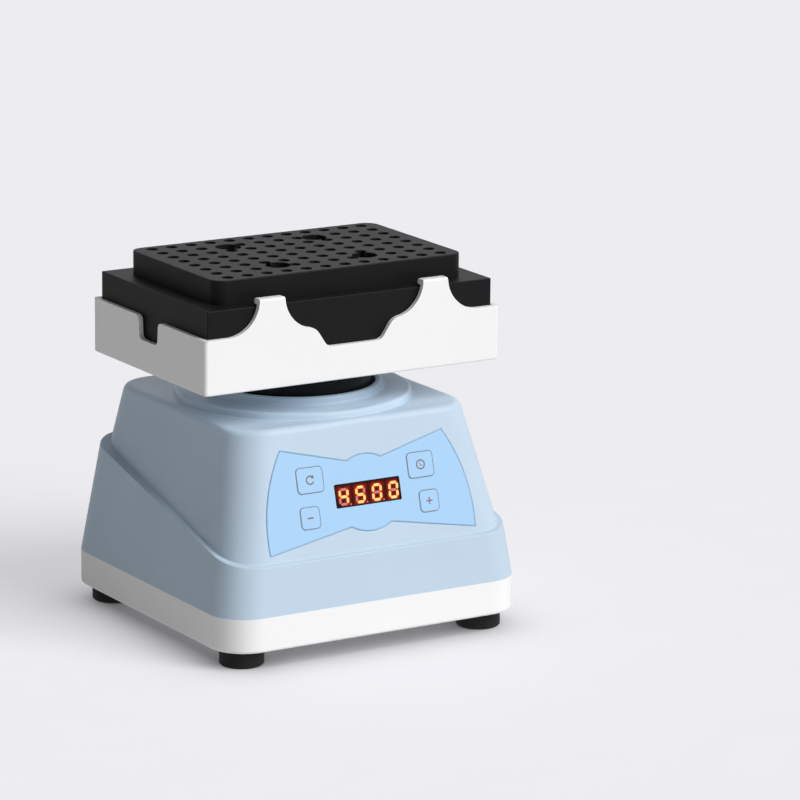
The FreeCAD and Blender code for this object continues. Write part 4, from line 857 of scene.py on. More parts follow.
# Housing
def skirt_row(inset, level):
    """The leaning skirt at a level, which may differ from point to point."""
    lean, out = rounded_frame(CORNER_STEPS, HOUSING_SIDE_STEPS)
    level = np.broadcast_to(np.asarray(level, float), (len(lean),))
    half = np.array(BASE_HALF) - inset - (SKIRT_LEAN * (level - PAN_TOP))[:, None]
    radius = SKIRT_CORNER - inset
    return np.column_stack([lean * (half - radius) + out * radius, level])


def upper_row(inset, level):
    """The upper body at a level: it narrows evenly from its foot to the deck."""
    lean, out = rounded_frame(CORNER_STEPS, HOUSING_SIDE_STEPS)
    level = np.broadcast_to(np.asarray(level, float), (len(lean),))
    part = (level - UPPER_LOW) / (DECK_TOP - UPPER_LOW)
    low, high = np.array(UPPER_LOW_SIDES), np.array(UPPER_TOP_SIDES)
    side, front, rear = (low + part[:, None] * (high - low) - inset).T
    half = np.column_stack([side, (front + rear) / 2])
    middle = np.column_stack([np.zeros_like(side), (rear - front) / 2])
    radius = UPPER_CORNER - inset
    return np.column_stack([middle + lean * (half - radius) + out * radius, level])


def on_ledge(row, inset, drop):
    """The row where its walls meet the slanting ledge, found by going up and down a few times."""
    level = LEDGE_MIDDLE
    for _ in range(LEDGE_ROUNDS):
        level = LEDGE_MIDDLE - drop + LEDGE_SLOPE * row(inset, level)[:, 1]
    return row(inset, level)


def ring_row(radius, level):
    """A circle round the motor axis, with its points in line with those of the deck's edge."""
    edge = upper_row(0, DECK_TOP)[:, :2] - (0, MOTOR_Y)
    turn = np.arctan2(edge[:, 1], edge[:, 0])
    flat = np.column_stack([radius * np.cos(turn), radius * np.sin(turn) + MOTOR_Y])
    return np.column_stack([flat, np.full(len(flat), float(level))])


def housing_rows():
    """From the pan up the skirt, over the ledge and the upper body, across the deck with its boss and
    collar, down the drum's way and back down inside the wall."""
    wall = SHELL_WALL
    under = DECK_TOP - wall
    boss = DECK_TOP + BOSS_HEIGHT
    creases = [
        (skirt_row(0, PAN_TOP), 0),
        (on_ledge(skirt_row, 0, 0), LEDGE_SOFT[0]),
        (on_ledge(upper_row, 0, 0), LEDGE_SOFT[1]),
        (upper_row(0, DECK_TOP), DECK_SOFT),
        (ring_row(BOSS_RADIUS + BOSS_FLARE, DECK_TOP), BOSS_SOFT[0]),
        (ring_row(BOSS_RADIUS, boss), BOSS_SOFT[1]),
        (ring_row(COLLAR_RADIUS, boss), COLLAR_SOFT[0]),
        (ring_row(COLLAR_RADIUS, COLLAR_TOP), COLLAR_SOFT[1]),
        (ring_row(COLLAR_BORE, COLLAR_TOP), COLLAR_SOFT[1]),
        (ring_row(COLLAR_BORE, under), 0),
        (upper_row(wall, under), SHELL_SOFT[0]),
        (on_ledge(upper_row, wall, wall), 0),
        (on_ledge(skirt_row, wall, wall), SHELL_SOFT[1]),
        (skirt_row(wall, PAN_TOP), 0),
    ]
    rows = [crease[0] for crease in creases]
    return soften(rows, [crease[1] for crease in creases[1:-1]])


def upright_box(low, high):
    """A plain closed block between two corners."""
    (left, front, under), (right, rear, over) = low, high
    loop = [(left, front), (right, front), (right, rear), (left, rear)]
    return surface([[(x, y, level) for x, y in loop] for level in (under, over)], capped=True)


def rear_tube(radius, x, front, rear):
    """A closed cylinder that points to the rear, at the height of the recess."""
    turn = np.linspace(0, 2 * math.pi, SOCKET_STEPS, endpoint=False)
    across = x + radius * np.cos(turn)
    level = RECESS_MIDDLE - radius * np.sin(turn)
    rows = [np.column_stack([across, np.full(SOCKET_STEPS, y), level]) for y in (front, rear)]
    return surface(rows, capped=True)


def recess_tub():
    """Block behind the rear wall, with its rear face leaning as the wall does and lying inside it."""
    side = RECESS_HALF + SHELL_WALL
    levels = (RECESS_LOW - SHELL_WALL, RECESS_HIGH + SHELL_WALL)
    front = RECESS_FLOOR - SHELL_WALL
    rows = []
    for level in levels:
        rear = BASE_HALF[1] - SKIRT_LEAN * (level - PAN_TOP) - SHELL_WALL / 2
        rows.append([(-side, front, level), (side, front, level), (side, rear, level), (-side, rear, level)])
    return surface(rows, capped=True)


def face_plate(outline, low, high):
    """A flat plate on the front face between two distances out of it."""
    flat = np.asarray(outline, float)
    rows = [np.column_stack([flat, np.full(len(flat), float(out))]) for out in (low, high)]
    return on_face_part(surface(rows, capped=True))


def arc(start, end, radius):
    """Points after the start up to the end of a short arc that runs anticlockwise."""
    start, end = np.array(start, float), np.array(end, float)
    chord = end - start
    length = np.linalg.norm(chord)
    left = np.array([-chord[1], chord[0]]) / length
    centre = (start + end) / 2 + left * math.sqrt(radius ** 2 - length ** 2 / 4)
    first = math.atan2(*(start - centre)[::-1])
    sweep = 2 * math.asin(length / 2 / radius)
    turn = first + np.linspace(0, sweep, ARC_STEPS + 1)[1:]
    return centre + radius * np.column_stack([np.cos(turn), np.sin(turn)])


def grown(outline, amount):
    """The closed anticlockwise outline moved outwards, with its corners mitred."""
    points = np.asarray(outline, float)
    along = np.roll(points, -1, 0) - points
    along /= np.linalg.norm(along, axis=1, keepdims=True)
    out = np.column_stack([along[:, 1], -along[:, 0]])
    both = out + np.roll(out, 1, 0)
    return points + amount * 2 * both / (both ** 2).sum(1, keepdims=True)


def panel_outline():
    """Butterfly outline of the control panel: long side arcs, a crest above and a dip below."""
    top, crest, bottom, dip = PANEL_TOP, PANEL_CREST, PANEL_BOTTOM, PANEL_DIP
    points = [[top], [crest]]
    points.append(arc(crest, (-crest[0], crest[1]), PANEL_CREST_RADIUS))
    points.append([(-top[0], top[1])])
    points.append(arc((-top[0], top[1]), (-bottom[0], bottom[1]), PANEL_SIDE_RADIUS))
    points.append([(-dip[0], dip[1])])
    points.append(arc((-dip[0], dip[1]), dip, PANEL_DIP_RADIUS))
    points.append([bottom])
    points.append(arc(bottom, top, PANEL_SIDE_RADIUS)[:-1])
    return np.concatenate(points)


def key_loop(name, grow, out):
    """Outline of a key on the front face, grown outwards by an amount."""
    (across, up), (half_x, half_y) = KEYS[name]
    return rounded_loop(half_x + grow, half_y + grow, KEY_CORNER + grow, out, (across, up), *KEY_STEPS)


def display_loop(grow, out):
    """Outline of the display on the front face, grown outwards by an amount."""
    half_x, half_y = (half + grow for half in DISPLAY_HALF)
    return rounded_loop(half_x, half_y, DISPLAY_CORNER + grow, out, DISPLAY_PLACE, *DISPLAY_STEPS)


def face_way(loop):
    """What is cut through the front wall inside a loop."""
    return face_plate(loop[:, :2], -WAY_DEPTH, WAY_DEPTH)


def housing():
    """Housing with its ways for panel, keys and display, and the recess at the rear."""
    cutters = [face_plate(grown(panel_outline(), PANEL_PLAY), -PANEL_SEAT, PANEL_SEAT)]
    cutters += [face_way(key_loop(name, KEY_PLAY, 0)) for name in KEYS]
    cutters.append(face_way(display_loop(0, 0)))
    rear = BASE_HALF[1] + SHELL_WALL
    behind = RECESS_FLOOR - 2 * SHELL_WALL
    cutters.append(
        upright_box((-RECESS_HALF, RECESS_FLOOR, RECESS_LOW), (RECESS_HALF, rear, RECESS_HIGH))
    )
    cutters.append(rear_tube(SOCKET_WAY, SOCKET_X, behind, rear))
    half_x, half_z = SWITCH_WAY
    cutters.append(upright_box(
        (SWITCH_X - half_x, behind, RECESS_MIDDLE - half_z),
        (SWITCH_X + half_x, rear, RECESS_MIDDLE + half_z),
    ))
    parts = [surface(housing_rows(), ring=True), recess_tub()]
    piece = add_piece(
        "housing", carve("housing", parts, cutters), "base", finish("housing"),
        replaces=["housing_shell"],
    )
    level_flats(piece)
    return piece


# Control panel
def print_height():
    """How far the print stands on its film, in millimetres."""
    return sizes().print_height / MM


def ribbon(outer, inner, low, high):
    """A closed flat ring between two outlines with as many points."""
    rows = []
    for outline, out in ((outer, low), (outer, high), (inner, high), (inner, low)):
        flat = np.asarray(outline, float)[:, :2]
        rows.append(np.column_stack([flat, np.full(len(flat), float(out))]))
    return on_face_part(surface(rows, ring=True))


def panel():
    """Film whose openings lie close round the keys and the display, and a painted shade band along its edge."""
    outline = panel_outline()
    openings = [face_way(key_loop(name, FILM_PLAY, 0)) for name in KEYS]
    openings.append(face_way(display_loop(0, 0)))
    film = carve("panel_film", [face_plate(outline, -PANEL_SEAT, PANEL_PROUD)], openings)
    add_piece("panel_film", film, "base", finish("panel"), replaces=["control_overlay"])
    # Painted shade: a darker band just inside the film's edge, for the shadow of the gap round it
    line = sizes().panel_painted_shade_line / MM
    outer, inner = grown(outline, -LINE_INSET), grown(outline, -LINE_INSET - line)
    mesh = make_mesh("panel_painted_shade_line", [ribbon(outer, inner, 0, PANEL_PROUD + print_height())])
    return add_piece("panel_painted_shade_line", mesh, "base", finish("panel_painted_shade_line"))


def stroke(outline, centre, low):
    """A printed mark on a key: a thin plate with this outline round a centre."""
    flat = np.asarray(outline, float) + np.array(centre)
    return face_plate(flat, low, low + print_height() + PRINT_SINK)


def bar(half_x, half_y):
    """Outline of a minus sign."""
    return [(-half_x, -half_y), (half_x, -half_y), (half_x, half_y), (-half_x, half_y)]


def cross(reach, half):
    """Outline of a plus sign."""
    return [
        (-half, -reach), (half, -reach), (half, -half), (reach, -half), (reach, half), (half, half),
        (half, reach), (-half, reach), (-half, half), (-reach, half), (-reach, -half), (-half, -half),
    ]


def curved_stroke(radius, half, first, last):
    """Outline of a stroke along an arc, between two angles in degrees."""
    turn = np.radians(np.linspace(first, last, MARK_STEPS))
    spoke = np.column_stack([np.cos(turn), np.sin(turn)])
    return np.concatenate([spoke * (radius + half), spoke[::-1] * (radius - half)])


def ring_mark(radius, half, centre, low):
    """A printed ring: a closed band between two circles."""
    outer = circle_loop(radius + half, 0, centre)
    inner = circle_loop(radius - half, 0, centre)
    return ribbon(outer, inner, low, low + print_height() + PRINT_SINK)


def key_marks(name, low):
    """Plain signs: a round arrow for cycling, a clock for the timer, minus and plus."""
    centre = KEYS[name][0]
    if name == "minus":
        return [stroke(bar(MINUS_HALF, MARK_HALF), centre, low)]
    if name == "plus":
        return [stroke(cross(PLUS_HALF, MARK_HALF), centre, low)]
    if name == "timer":
        return [ring_mark(CLOCK_RADIUS, MARK_HALF, centre, low), stroke(CLOCK_HANDS, centre, low)]
    shaft = curved_stroke(ARROW_RADIUS, MARK_HALF, *ARROW_TURN)
    return [stroke(shaft, centre, low), stroke(ARROW_HEAD, centre, low)]


def key(name):
    """Cap with soft edges, a flange behind the wall and a stem, with its print on the face."""
    top = PANEL_PROUD + KEY_PROUD
    rows = [
        key_loop(name, KEY_FLANGE, FLANGE_LOW),
        key_loop(name, KEY_FLANGE, FLANGE_TOP),
        key_loop(name, 0, FLANGE_TOP),
        key_loop(name, 0, top),
        key_loop(name, -KEY_CORNER / 2, top),
    ]
    cap = on_face_part(surface(soften(rows, [0, 0, KEY_SOFT]), capped=True))
    profile = [(STEM_RADIUS, STEM_LOW), (STEM_RADIUS, FLANGE_LOW)]
    stem = on_face_part(lathe(profile, KEYS[name][0], STEM_STEPS))
    piece = add_piece(
        f"{name}_key_cap", make_mesh(f"{name}_key_cap", [cap, stem]), f"{name}_key",
        finish("key"), replaces=[f"key_{name}"],
    )
    level_flats(piece)
    line = sizes().key_line / MM
    low = top - PRINT_SINK
    frame_line = ribbon(
        key_loop(name, -FRAME_INSET, 0), key_loop(name, -FRAME_INSET - line, 0), low, top + print_height()
    )
    marks = make_mesh(f"{name}_key_print", [frame_line] + key_marks(name, low))
    return add_piece(f"{name}_key_print", marks, f"{name}_key", finish("key_line"))


# Tray
def wall_gap():
    """What is cut from the front and rear walls between the tabs, seen from the front: a quarter
    circle down from each tab, a soft shoulder and a slope into the finger notch."""
    over = TAB_TOP + CUT_OVER
    inner = TAB_ENDS[0]
    centre = (SHOULDER[0], TAB_TOP)
    scoop = turned_points(centre, SHOULDER_SCOOP, 270 + SHOULDER_TURN, 360)
    half = [NOTCH, SHOULDER, *scoop, (inner + TAB_SOFT, TAB_TOP), (inner + TAB_SOFT, over)]
    reaches = [NOTCH_SOFT, SHOULDER_SOFT] + [0] * (len(scoop) - 1) + [TAB_SOFT, 0]
    return with_mirror(soften([(0, NOTCH[1]), *half], reaches)[1:])


def wall_end():
    """What is cut from the walls beyond the tab on the right: a quarter circle down to the end."""
    over = TAB_TOP + CUT_OVER
    outer = TAB_ENDS[1]
    far = TRAY_HALF[0] + CUT_OVER
    scoop = turned_points((outer + END_SCOOP, TAB_TOP), END_SCOOP, 180, 270)
    rows = [(far, END_TOP), (far, over), (outer - TAB_SOFT, over), (outer - TAB_SOFT, TAB_TOP), *scoop]
    reaches = [0, 0, 0, TAB_SOFT] + [0] * (len(scoop) - 2)
    return soften(rows, reaches)


def side_gap():
    """The small notch of the end walls, seen from the right."""
    far = TRAY_HALF[1] + CUT_OVER
    half = [(0, SIDE_NOTCH[1]), SIDE_NOTCH, SIDE_SHOULDER, (far, SIDE_SHOULDER[1]), (far, TAB_TOP)]
    return with_mirror(soften(half, [SIDE_SOFT, SIDE_SOFT, 0])[1:])


def tray_inside():
    """The space between the walls, seen from the right, with a rounded nose under each bent tab."""
    wall = TRAY_INSIDE[1]
    over = TAB_TOP + CUT_OVER
    half = [
        (wall, TRAY_FLOOR), (wall, LIP_LOW), (LIP_NOSE, LIP_LOW), (LIP_NOSE, TAB_TOP),
        (wall, TAB_TOP), (wall, over),
    ]
    return with_mirror(soften(half, [0, LIP_SOFT, LIP_SOFT, 0]))


def tray():
    """Open tray with two bent clip tabs on the front wall and two on the rear one."""
    block = soft_block(TRAY_HALF, TRAY_CORNER, TRAY_BOTTOM, TAB_TOP, [TRAY_FOOT, TAB_BEND])
    side, front = TRAY_HALF
    cutters = [
        prism(tray_inside(), (1, 2), -TRAY_INSIDE[0], TRAY_INSIDE[0]),
        prism(wall_gap(), (0, 2), -front - CUT_OVER, front + CUT_OVER),
        prism(wall_end(), (0, 2), -front - CUT_OVER, front + CUT_OVER),
        prism(mirrored(wall_end()), (0, 2), -front - CUT_OVER, front + CUT_OVER),
        prism(side_gap(), (1, 2), TRAY_INSIDE[0] - CUT_OVER, side + CUT_OVER),
        prism(side_gap(), (1, 2), -side - CUT_OVER, CUT_OVER - TRAY_INSIDE[0]),
    ]
    for place in both_sides(SCREW_PLACE):
        profile = [(SCREW_WAY, TRAY_BOTTOM - CUT_OVER), (SCREW_WAY, TRAY_FLOOR + CUT_OVER)]
        cutters.append(lathe(profile, place, SCREW_WAY_STEPS))
    piece = add_piece(
        "tray", carve("tray", [block], cutters), "head", finish("white"),
        replaces=["platform_tray"],
    )
    round_edges(piece, TRAY_EDGE)
    return piece


# Rack
def rack_base():
    """Block with a well under the tube plate and four channels that pass the tray's tabs."""
    block = soft_block(RACK_HALF, RACK_SOFT, TRAY_FLOOR, RACK_SHOULDER, [RACK_CREASE] * 2)
    half_x, half_y, corner = RACK_WELL
    over = RACK_SHOULDER + CUT_OVER
    well = [rounded_loop(half_x, half_y, corner, level) for level in (RACK_WELL_LOW, over)]
    cutters = [surface(well, capped=True)]
    for place in both_sides(SCREW_PLACE):
        profile = [(ACCESS_RADIUS, TRAY_FLOOR - CUT_OVER), (ACCESS_RADIUS, RACK_WELL_LOW + CUT_OVER)]
        cutters.append(lathe(profile, place, ACCESS_STEPS))
    inner, outer, nose = RACK_CHANNEL
    for left, right in ((inner, outer), (-outer, -inner)):
        for near, far in ((nose, RACK_HALF[1] + CUT_OVER), (-RACK_HALF[1] - CUT_OVER, -nose)):
            cutters.append(upright_box((left, near, TRAY_FLOOR - CUT_OVER), (right, far, over)))
    piece = add_piece(
        "rack_block", carve("rack_block", [block], cutters), "rack", finish("rack"),
        replaces=["rack_base"],
    )
    level_flats(piece)
    return piece


def mouth_tool(radius, place, steps):
    """Cutter of a hole through the top plate, with a small chamfer at its mouth."""
    chamfer = sizes().hole_chamfer / MM
    profile = [
        (radius, RACK_SHOULDER - CUT_OVER), (radius, RACK_TOP - chamfer), (radius + chamfer, RACK_TOP),
        (radius + chamfer, RACK_TOP + CUT_OVER),
    ]
    return lathe(profile, place, steps)


def rack_top():
    """Plate with softened edges, a grid of tube holes and four wider holes over the tray screws."""
    block = soft_block(RACK_TOP_HALF, RACK_TOP_CORNER, RACK_SHOULDER, RACK_TOP, RACK_TOP_SOFT)
    cutters = [mouth_tool(ACCESS_RADIUS, place, ACCESS_MOUTH_STEPS) for place in both_sides(SCREW_PLACE)]
    across, back = (
        pitch * (np.arange(count) - (count - 1) / 2) for count, pitch in zip(TUBE_COUNTS, TUBE_PITCH)
    )
    for x in across:
        for y in back:
            reach = min(math.hypot(x - place[0], y - place[1]) for place in both_sides(SCREW_PLACE))
            if reach > ACCESS_RADIUS - TUBE_RADIUS:
                cutters.append(mouth_tool(TUBE_RADIUS, (x, y), TUBE_STEPS))
    piece = add_piece(
        "rack_plate", carve("rack_plate", [block], cutters), "rack", finish("rack"),
        replaces=["rack_top"],
    )
    level_flats(piece)
    return piece


# Rocker switch
def rocker_marks():
    """Off and on signs, a ring and a bar, on the two faces of the rocker."""
    parts = []
    for name, (low, high) in ROCKER_FACES.items():
        low, high = np.array([0.0, *low]), np.array([0.0, *high])
        up = (high - low) / np.linalg.norm(high - low)
        out = np.cross((-1.0, 0.0, 0.0), up)
        middle = (low + high) / 2 + (SWITCH_X, 0.0, 0.0)
        sunk, proud = -PRINT_SINK, print_height()
        if name == "off":
            edges = (
                (ROCKER_LINE, sunk), (ROCKER_LINE, proud), (-ROCKER_LINE, proud), (-ROCKER_LINE, sunk),
            )
            loops = [circle_loop(OFF_RADIUS + grow, level, steps=MARK_STEPS) for grow, level in edges]
            points, faces = surface(loops, ring=True)
        else:
            points, faces = prism(bar(ROCKER_LINE, ON_HALF), (0, 1), sunk, proud)
        parts.append((middle + points @ np.array([(-1.0, 0.0, 0.0), up, out]), faces))
    mesh = make_mesh("rocker_marks", parts)
    return add_piece("rocker_marks", mesh, "power_rocker", finish("mark"))


# Display
def segment_ends(place, name):
    """The two ends of a segment of a figure, on a lean of a few degrees."""
    ends = []
    for side, rise in SEGMENTS[name]:
        up = rise * FIGURE_HALF[1]
        ends.append(np.array([place + side * FIGURE_HALF[0] + FIGURE_LEAN * up, up + FIGURE_RISE]))
    return ends


def segment_outline(place, name, half):
    """Six-sided outline of a segment, with a point at each end."""
    start, end = segment_ends(place, name)
    along = (end - start) / np.linalg.norm(end - start)
    side = np.array([-along[1], along[0]]) * half
    start, end = start + along * SEGMENT_GAP, end - along * SEGMENT_GAP
    near, far = start + along * half, end - along * half
    return np.array([start, near - side, far - side, end, far + side, near + side])


def cored(name, outlines, low, high, material):
    """Plates that carry a mask named core: 0 along their rim and 1 over their core."""
    parts = []
    mask = []
    for outline in outlines:
        core = grown(outline, -RIM)
        rows = []
        for flat, out in ((outline, low), (outline, high), (core, high)):
            rows.append(np.column_stack([flat, np.full(len(flat), float(out))]))
        parts.append(on_face_part(surface(rows, capped=True)))
        mask.extend([0.0] * (2 * len(outline)) + [1.0] * len(outline))
    mesh = make_mesh(name, parts)
    add_mask(mesh, "core", mask)
    return add_piece(name, mesh, "base", material)


def figure_outlines(lit):
    """Outlines of all segments that are lit, or of all that aren't, with the decimal points."""
    outlines = []
    for place, figure in zip(FIGURE_PLACES, FIGURES):
        for name in SEGMENTS:
            if (name in LIT_SEGMENTS[figure]) == lit:
                outlines.append(segment_outline(place, name, SEGMENT_HALF))
        if not lit and place != FIGURE_PLACES[-1]:
            centre = (place + POINT_PLACE[0], POINT_PLACE[1] + FIGURE_RISE)
            outlines.append(circle_loop(POINT_RADIUS, 0, centre, POINT_STEPS)[:, :2])
    return outlines


def window_glow(points):
    """How much red light reaches each point: it halves with each step away from a lit segment."""
    nearest = np.full(len(points), np.inf)
    for place, figure in zip(FIGURE_PLACES, FIGURES):
        for name in LIT_SEGMENTS[figure]:
            start, end = segment_ends(place, name)
            run = end - start
            part = np.clip((points - start) @ run / (run @ run), 0, 1)[:, None]
            nearest = np.minimum(nearest, np.linalg.norm(points - start - part * run, axis=1))
    return 0.5 ** (np.maximum(nearest - SEGMENT_HALF, 0) / GLOW_STEP)


def display():
    """Black bezel with a sunk dark window, and four figures behind it."""
    rows = [
        display_loop(0, -WALL_OUT), display_loop(0, PANEL_PROUD), display_loop(-BEZEL, PANEL_PROUD),
        display_loop(-BEZEL, WINDOW_OUT),
    ]
    tub = on_face_part(surface(soften(rows, BEZEL_SOFT), capped=True))
    piece = add_piece(
        "display_bezel", make_mesh("display_bezel", [tub]), "base", finish("bezel"),
        replaces=["display_lens"],
    )
    level_flats(piece)
    half_x, half_y = (half - BEZEL + PRINT_SINK for half in DISPLAY_HALF)
    across = np.linspace(-half_x, half_x, WINDOW_GRID[0])
    up = np.linspace(-half_y, half_y, WINDOW_GRID[1]) + DISPLAY_PLACE[1]
    across = np.append(across, [half_x, -half_x])
    out = np.full(len(across), WINDOW_OUT + PRINT_SINK)
    out[-2:] -= PRINT_SINK / 2
    rows = [np.column_stack([across, np.full(len(across), y), out]) for y in up]
    points, faces = surface(rows, capped=True)
    mesh = make_mesh("display_window", [(on_face(points), faces)])
    add_mask(mesh, "glow", window_glow(points[:, :2]))
    add_piece("display_window", mesh, "base", finish("window"))
    low = WINDOW_OUT + PRINT_SINK / 2
    high = WINDOW_OUT + 2 * PRINT_SINK
    cored("lit_segments", figure_outlines(True), low, high, finish("lit"))
    # These segments are not lit, but carry a painted glow
    cored("unlit_segments", figure_outlines(False), low, high, finish("unlit"))
    return piece


# Finishes of the nodes that stay as the frame has them
CORNERS = ("front_left", "front_right", "rear_left", "rear_right")
NODE_FINISHES = {
    "rubber": [*(f"foot_{corner}" for corner in CORNERS), "support_columns"],
    "screw": [
        *(f"foot_screw_{corner}" for corner in CORNERS), "base_screws", "motor_plate_screws",
        "motor_screws", "control_board_screws", "hub_set_screw", "crank_pin_screw",
        *(f"tray_screw_{corner}" for corner in CORNERS),
    ],
    "white": ["base_pan"],
    "drum": ["drive_drum"],
    "black": [
        "display_module", "power_socket", "switch_frame", "switch_rocker", "driver_parts",
        *(f"press_switch_{name}" for name in KEYS),
    ],
    "board": ["control_board", "driver_board"],
    "steel": ["ballast_plate", "motor_can", "eccentric_hub"],
    "copper": ["motor_stator"],
    "aluminium": ["motor_plate", *(f"pillar_{corner}" for corner in CORNERS)],
    "bearing": [
        "motor_shaft", "motor_bearing_lower", "motor_bearing_upper", "head_bearing", "head_circlip",
        "power_socket_pin",
    ],
    "magnet": ["motor_magnet"],
    "nylon": ["driver_standoffs"],
}


def dress_nodes():
    """Finishes for all nodes of the table."""
    for name, nodes in NODE_FINISHES.items():
        for node in nodes:
            dress(node, name)


# Stage
def seen_directly(nodes, links):
    """1 for rays from the camera or through a clear pane, and 0 for light that is thrown on."""
    path = nodes.new("ShaderNodeLightPath")
    return math_node(
        nodes, links, "MAXIMUM", path.outputs["Is Camera Ray"], path.outputs["Is Transmission Ray"]
    )


def floor_shade(points):
    """How deep the floor lies in shade: 1 under the base, and less by half with each step away."""
    past = np.abs(points[:, :2]) - (np.array(BASE_HALF) - SKIRT_CORNER - SHADE_INSIDE)
    away = np.linalg.norm(np.maximum(past, 0), axis=1) - SKIRT_CORNER
    return 0.5 ** (np.maximum(away, 0) / SHADE_STEP)


def floor():
    """A wide pale floor, finely divided near the mixer, that carries a mask named shade."""
    half = FLOOR_SIDE / 2 / MM
    fine = np.arange(-SHADE_REACH, SHADE_REACH + SHADE_GRAIN, SHADE_GRAIN)
    lines = np.concatenate([[-half], fine, [half]])
    level = np.full(len(lines), FLOOR_LEVEL)
    rows = [np.column_stack([lines, np.full(len(lines), y), level]) for y in lines]
    points, faces = surface(rows, closed=False)
    mesh = make_mesh("floor", [(points, faces)])
    add_mask(mesh, "shade", floor_shade(points))
    material, nodes, links, shader = new_material("pale_floor")
    stage = bpy.context.scene.mixer_stage
    seen = seen_directly(nodes, links)
    pale = colours().floor
    fine = place_group(nodes, "grain", Scale=900.0)
    shade = tint(pale, stage.bounce)
    links.new(toned(nodes, links, fine, shade, FLOOR_TONE), shader.inputs["Base Color"])
    shader.inputs["Emission Strength"].default_value = 1.0
    shade_mask = nodes.new("ShaderNodeAttribute")
    shade_mask.attribute_name = "shade"
    glow = blend_colours(
        nodes, links, shade_mask.outputs["Fac"], tint(pale, stage.floor_glow), tint(pale, UNDER_GLOW)
    )
    fill = (stage.floor_fill,) * 3
    links.new(blend_colours(nodes, links, seen, fill, glow), shader.inputs["Emission Color"])
    shader.inputs["Roughness"].default_value = FLOOR_ROUGHNESS
    shader.inputs["Specular IOR Level"].default_value = 0.0
    mesh.materials.append(material)
    piece = bpy.data.objects.new("floor", mesh)
    bpy.context.scene.collection.objects.link(piece)


def sky():
    """Even light all round. The camera sees a pale backdrop, and so do reflections of the wall behind
    the mixer: the mask rises with the part of the ray's direction that points there."""
    world = bpy.data.worlds.new("studio")
    bpy.context.scene.world = world
    world.use_nodes = True
    nodes, links = world.node_tree.nodes, world.node_tree.links
    stage = bpy.context.scene.mixer_stage
    toward = nodes.new("ShaderNodeVectorMath")
    toward.operation = "DOT_PRODUCT"
    links.new(nodes.new("ShaderNodeTexCoord").outputs["Generated"], toward.inputs[0])
    toward.inputs[1].default_value = BEHIND
    past = math_node(nodes, links, "SUBTRACT", toward.outputs["Value"], BEHIND_START)
    wall = math_node(nodes, links, "MULTIPLY", past, BEHIND_RISE, clamp=True)
    glossy = nodes.new("ShaderNodeLightPath").outputs["Is Glossy Ray"]
    mirrored_wall = math_node(nodes, links, "MULTIPLY", glossy, wall)
    seen = math_node(nodes, links, "MAXIMUM", seen_directly(nodes, links), mirrored_wall)
    light = (stage.sky,) * 3
    links.new(blend_colours(nodes, links, seen, light, BACKDROP), nodes["Background"].inputs["Color"])


def lamp():
    """A wide soft lamp from the front right and above."""
    data = bpy.data.lights.new("key_lamp", "SUN")
    data.energy = bpy.context.scene.mixer_stage.key
    data.angle = math.radians(LAMP_WIDTH)
    item = bpy.data.objects.new("key_lamp", data)
    item.rotation_euler = Vector(LAMP_FROM).to_track_quat("Z", "Y").to_euler()
    bpy.context.scene.collection.objects.link(item)


def camera():
    """The photograph's camera: a long lens from the front left, a little above."""
    turn, rise, roll = (math.radians(angle) for angle in CAMERA_ANGLES)
    back = Vector((math.sin(turn) * math.cos(rise), -math.cos(turn) * math.cos(rise), math.sin(rise)))
    level = (-back).cross(Vector((0, 0, 1))).normalized()
    upright = level.cross(-back)
    right = level * math.cos(roll) + upright * math.sin(roll)
    up = upright * math.cos(roll) - level * math.sin(roll)
    data = bpy.data.cameras.new("camera")
    data.lens = CAMERA_LENS
    data.clip_end = 2 * FLOOR_SIDE
    item = bpy.data.objects.new("camera", data)
    item.matrix_world = Matrix.Translation(CAMERA_PLACE) @ Matrix((right, up, back)).transposed().to_4x4()
    bpy.context.scene.collection.objects.link(item)
    bpy.context.scene.camera = item


# Operators
class MixerStep:
    """One step of the building, which stops with an error where the frame isn't loaded."""

    bl_options = {"REGISTER", "UNDO"}

    def execute(self, context):
        if not frame["nodes"]:
            raise RuntimeError("The packed frame has no nodes")
        self.build()
        return {"FINISHED"}


class MIXER_OT_stage(MixerStep, Operator):
    """Pale floor, even sky, one soft lamp and the photograph's camera."""

    bl_idname = "mixer.stage"
    bl_label = "Stage"

    def build(self):
        floor()
        sky()
        lamp()
        camera()
        bpy.context.scene.view_settings.view_transform = "Standard"


class MIXER_OT_finishes(MixerStep, Operator):
    """Procedural finishes for all nodes that stay as the frame has them."""

    bl_idname = "mixer.finishes"
    bl_label = "Finishes"

    def build(self):
        dress_nodes()


class MIXER_OT_housing(MixerStep, Operator):
    """Rounded outlines stacked from the pan to the deck, each leaning in with its height, cut off
    along the plane of the ledge and closed round the raised rings."""

    bl_idname = "mixer.housing"
    bl_label = "Housing"

    def build(self):
        housing()


class MIXER_OT_controls(MixerStep, Operator):
    """Panel film with its painted shade line, four keys with plain signs, and the display."""

    bl_idname = "mixer.controls"
    bl_label = "Controls"

    def build(self):
        panel()
        for name in KEYS:
            key(name)
        display()


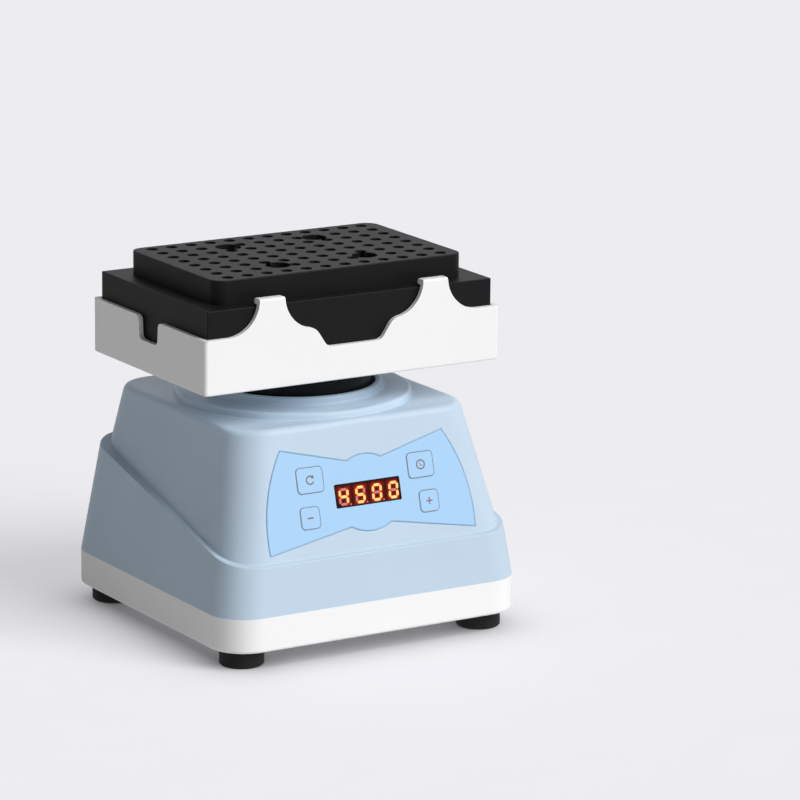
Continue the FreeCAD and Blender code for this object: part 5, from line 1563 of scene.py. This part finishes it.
class MIXER_OT_tray(MixerStep, Operator):
    """A rounded block, hollowed and cut from the front by quarter circles, soft shoulders and finger
    notches, and from the sides by small notches."""

    bl_idname = "mixer.tray"
    bl_label = "Tray"

    def build(self):
        tray()


class MIXER_OT_rack(MixerStep, Operator):
    """A block with a well and clip channels, and a plate with a grid of holes: each place is the
    pitch times its number counted from the middle."""

    bl_idname = "mixer.rack"
    bl_label = "Rack"

    def build(self):
        rack_base()
        rack_top()


class MIXER_OT_rocker(MixerStep, Operator):
    """Signs for off and on, a ring and a bar, laid on the rocker's two faces."""

    bl_idname = "mixer.rocker"
    bl_label = "Rocker marks"

    def build(self):
        rocker_marks()


class MIXER_PT_panel(Panel):
    """Colours, sizes and light of the mixer, with a button for each step."""

    bl_idname = "MIXER_PT_panel"
    bl_label = "Multi-tube vortex mixer"
    bl_space_type = "VIEW_3D"
    bl_region_type = "UI"
    bl_category = "Mixer"

    def draw(self, context):
        for group in (context.scene.mixer_colours, context.scene.mixer_sizes, context.scene.mixer_stage):
            column = self.layout.column()
            for name in group.bl_rna.properties.keys():
                if name not in {"rna_type", "name"}:
                    column.prop(group, name)
        for step in STEPS:
            self.layout.operator(step.bl_idname)


STEPS = (
    MIXER_OT_stage, MIXER_OT_finishes, MIXER_OT_housing, MIXER_OT_controls, MIXER_OT_tray, MIXER_OT_rack,
    MIXER_OT_rocker,
)
CLASSES = (MixerColours, MixerSizes, MixerStage, *STEPS, MIXER_PT_panel)


def register():
    for item in CLASSES:
        bpy.utils.register_class(item)
    bpy.types.Scene.mixer_colours = PointerProperty(type=MixerColours)
    bpy.types.Scene.mixer_sizes = PointerProperty(type=MixerSizes)
    bpy.types.Scene.mixer_stage = PointerProperty(type=MixerStage)


def unregister():
    del bpy.types.Scene.mixer_stage
    del bpy.types.Scene.mixer_sizes
    del bpy.types.Scene.mixer_colours
    for item in reversed(CLASSES):
        bpy.utils.unregister_class(item)


def main():
    register()
    bpy.ops.mixer.stage()
    bpy.ops.mixer.finishes()
    bpy.ops.mixer.housing()
    bpy.ops.mixer.controls()
    bpy.ops.mixer.tray()
    bpy.ops.mixer.rack()
    bpy.ops.mixer.rocker()


if __name__ == "__main__":
    main()
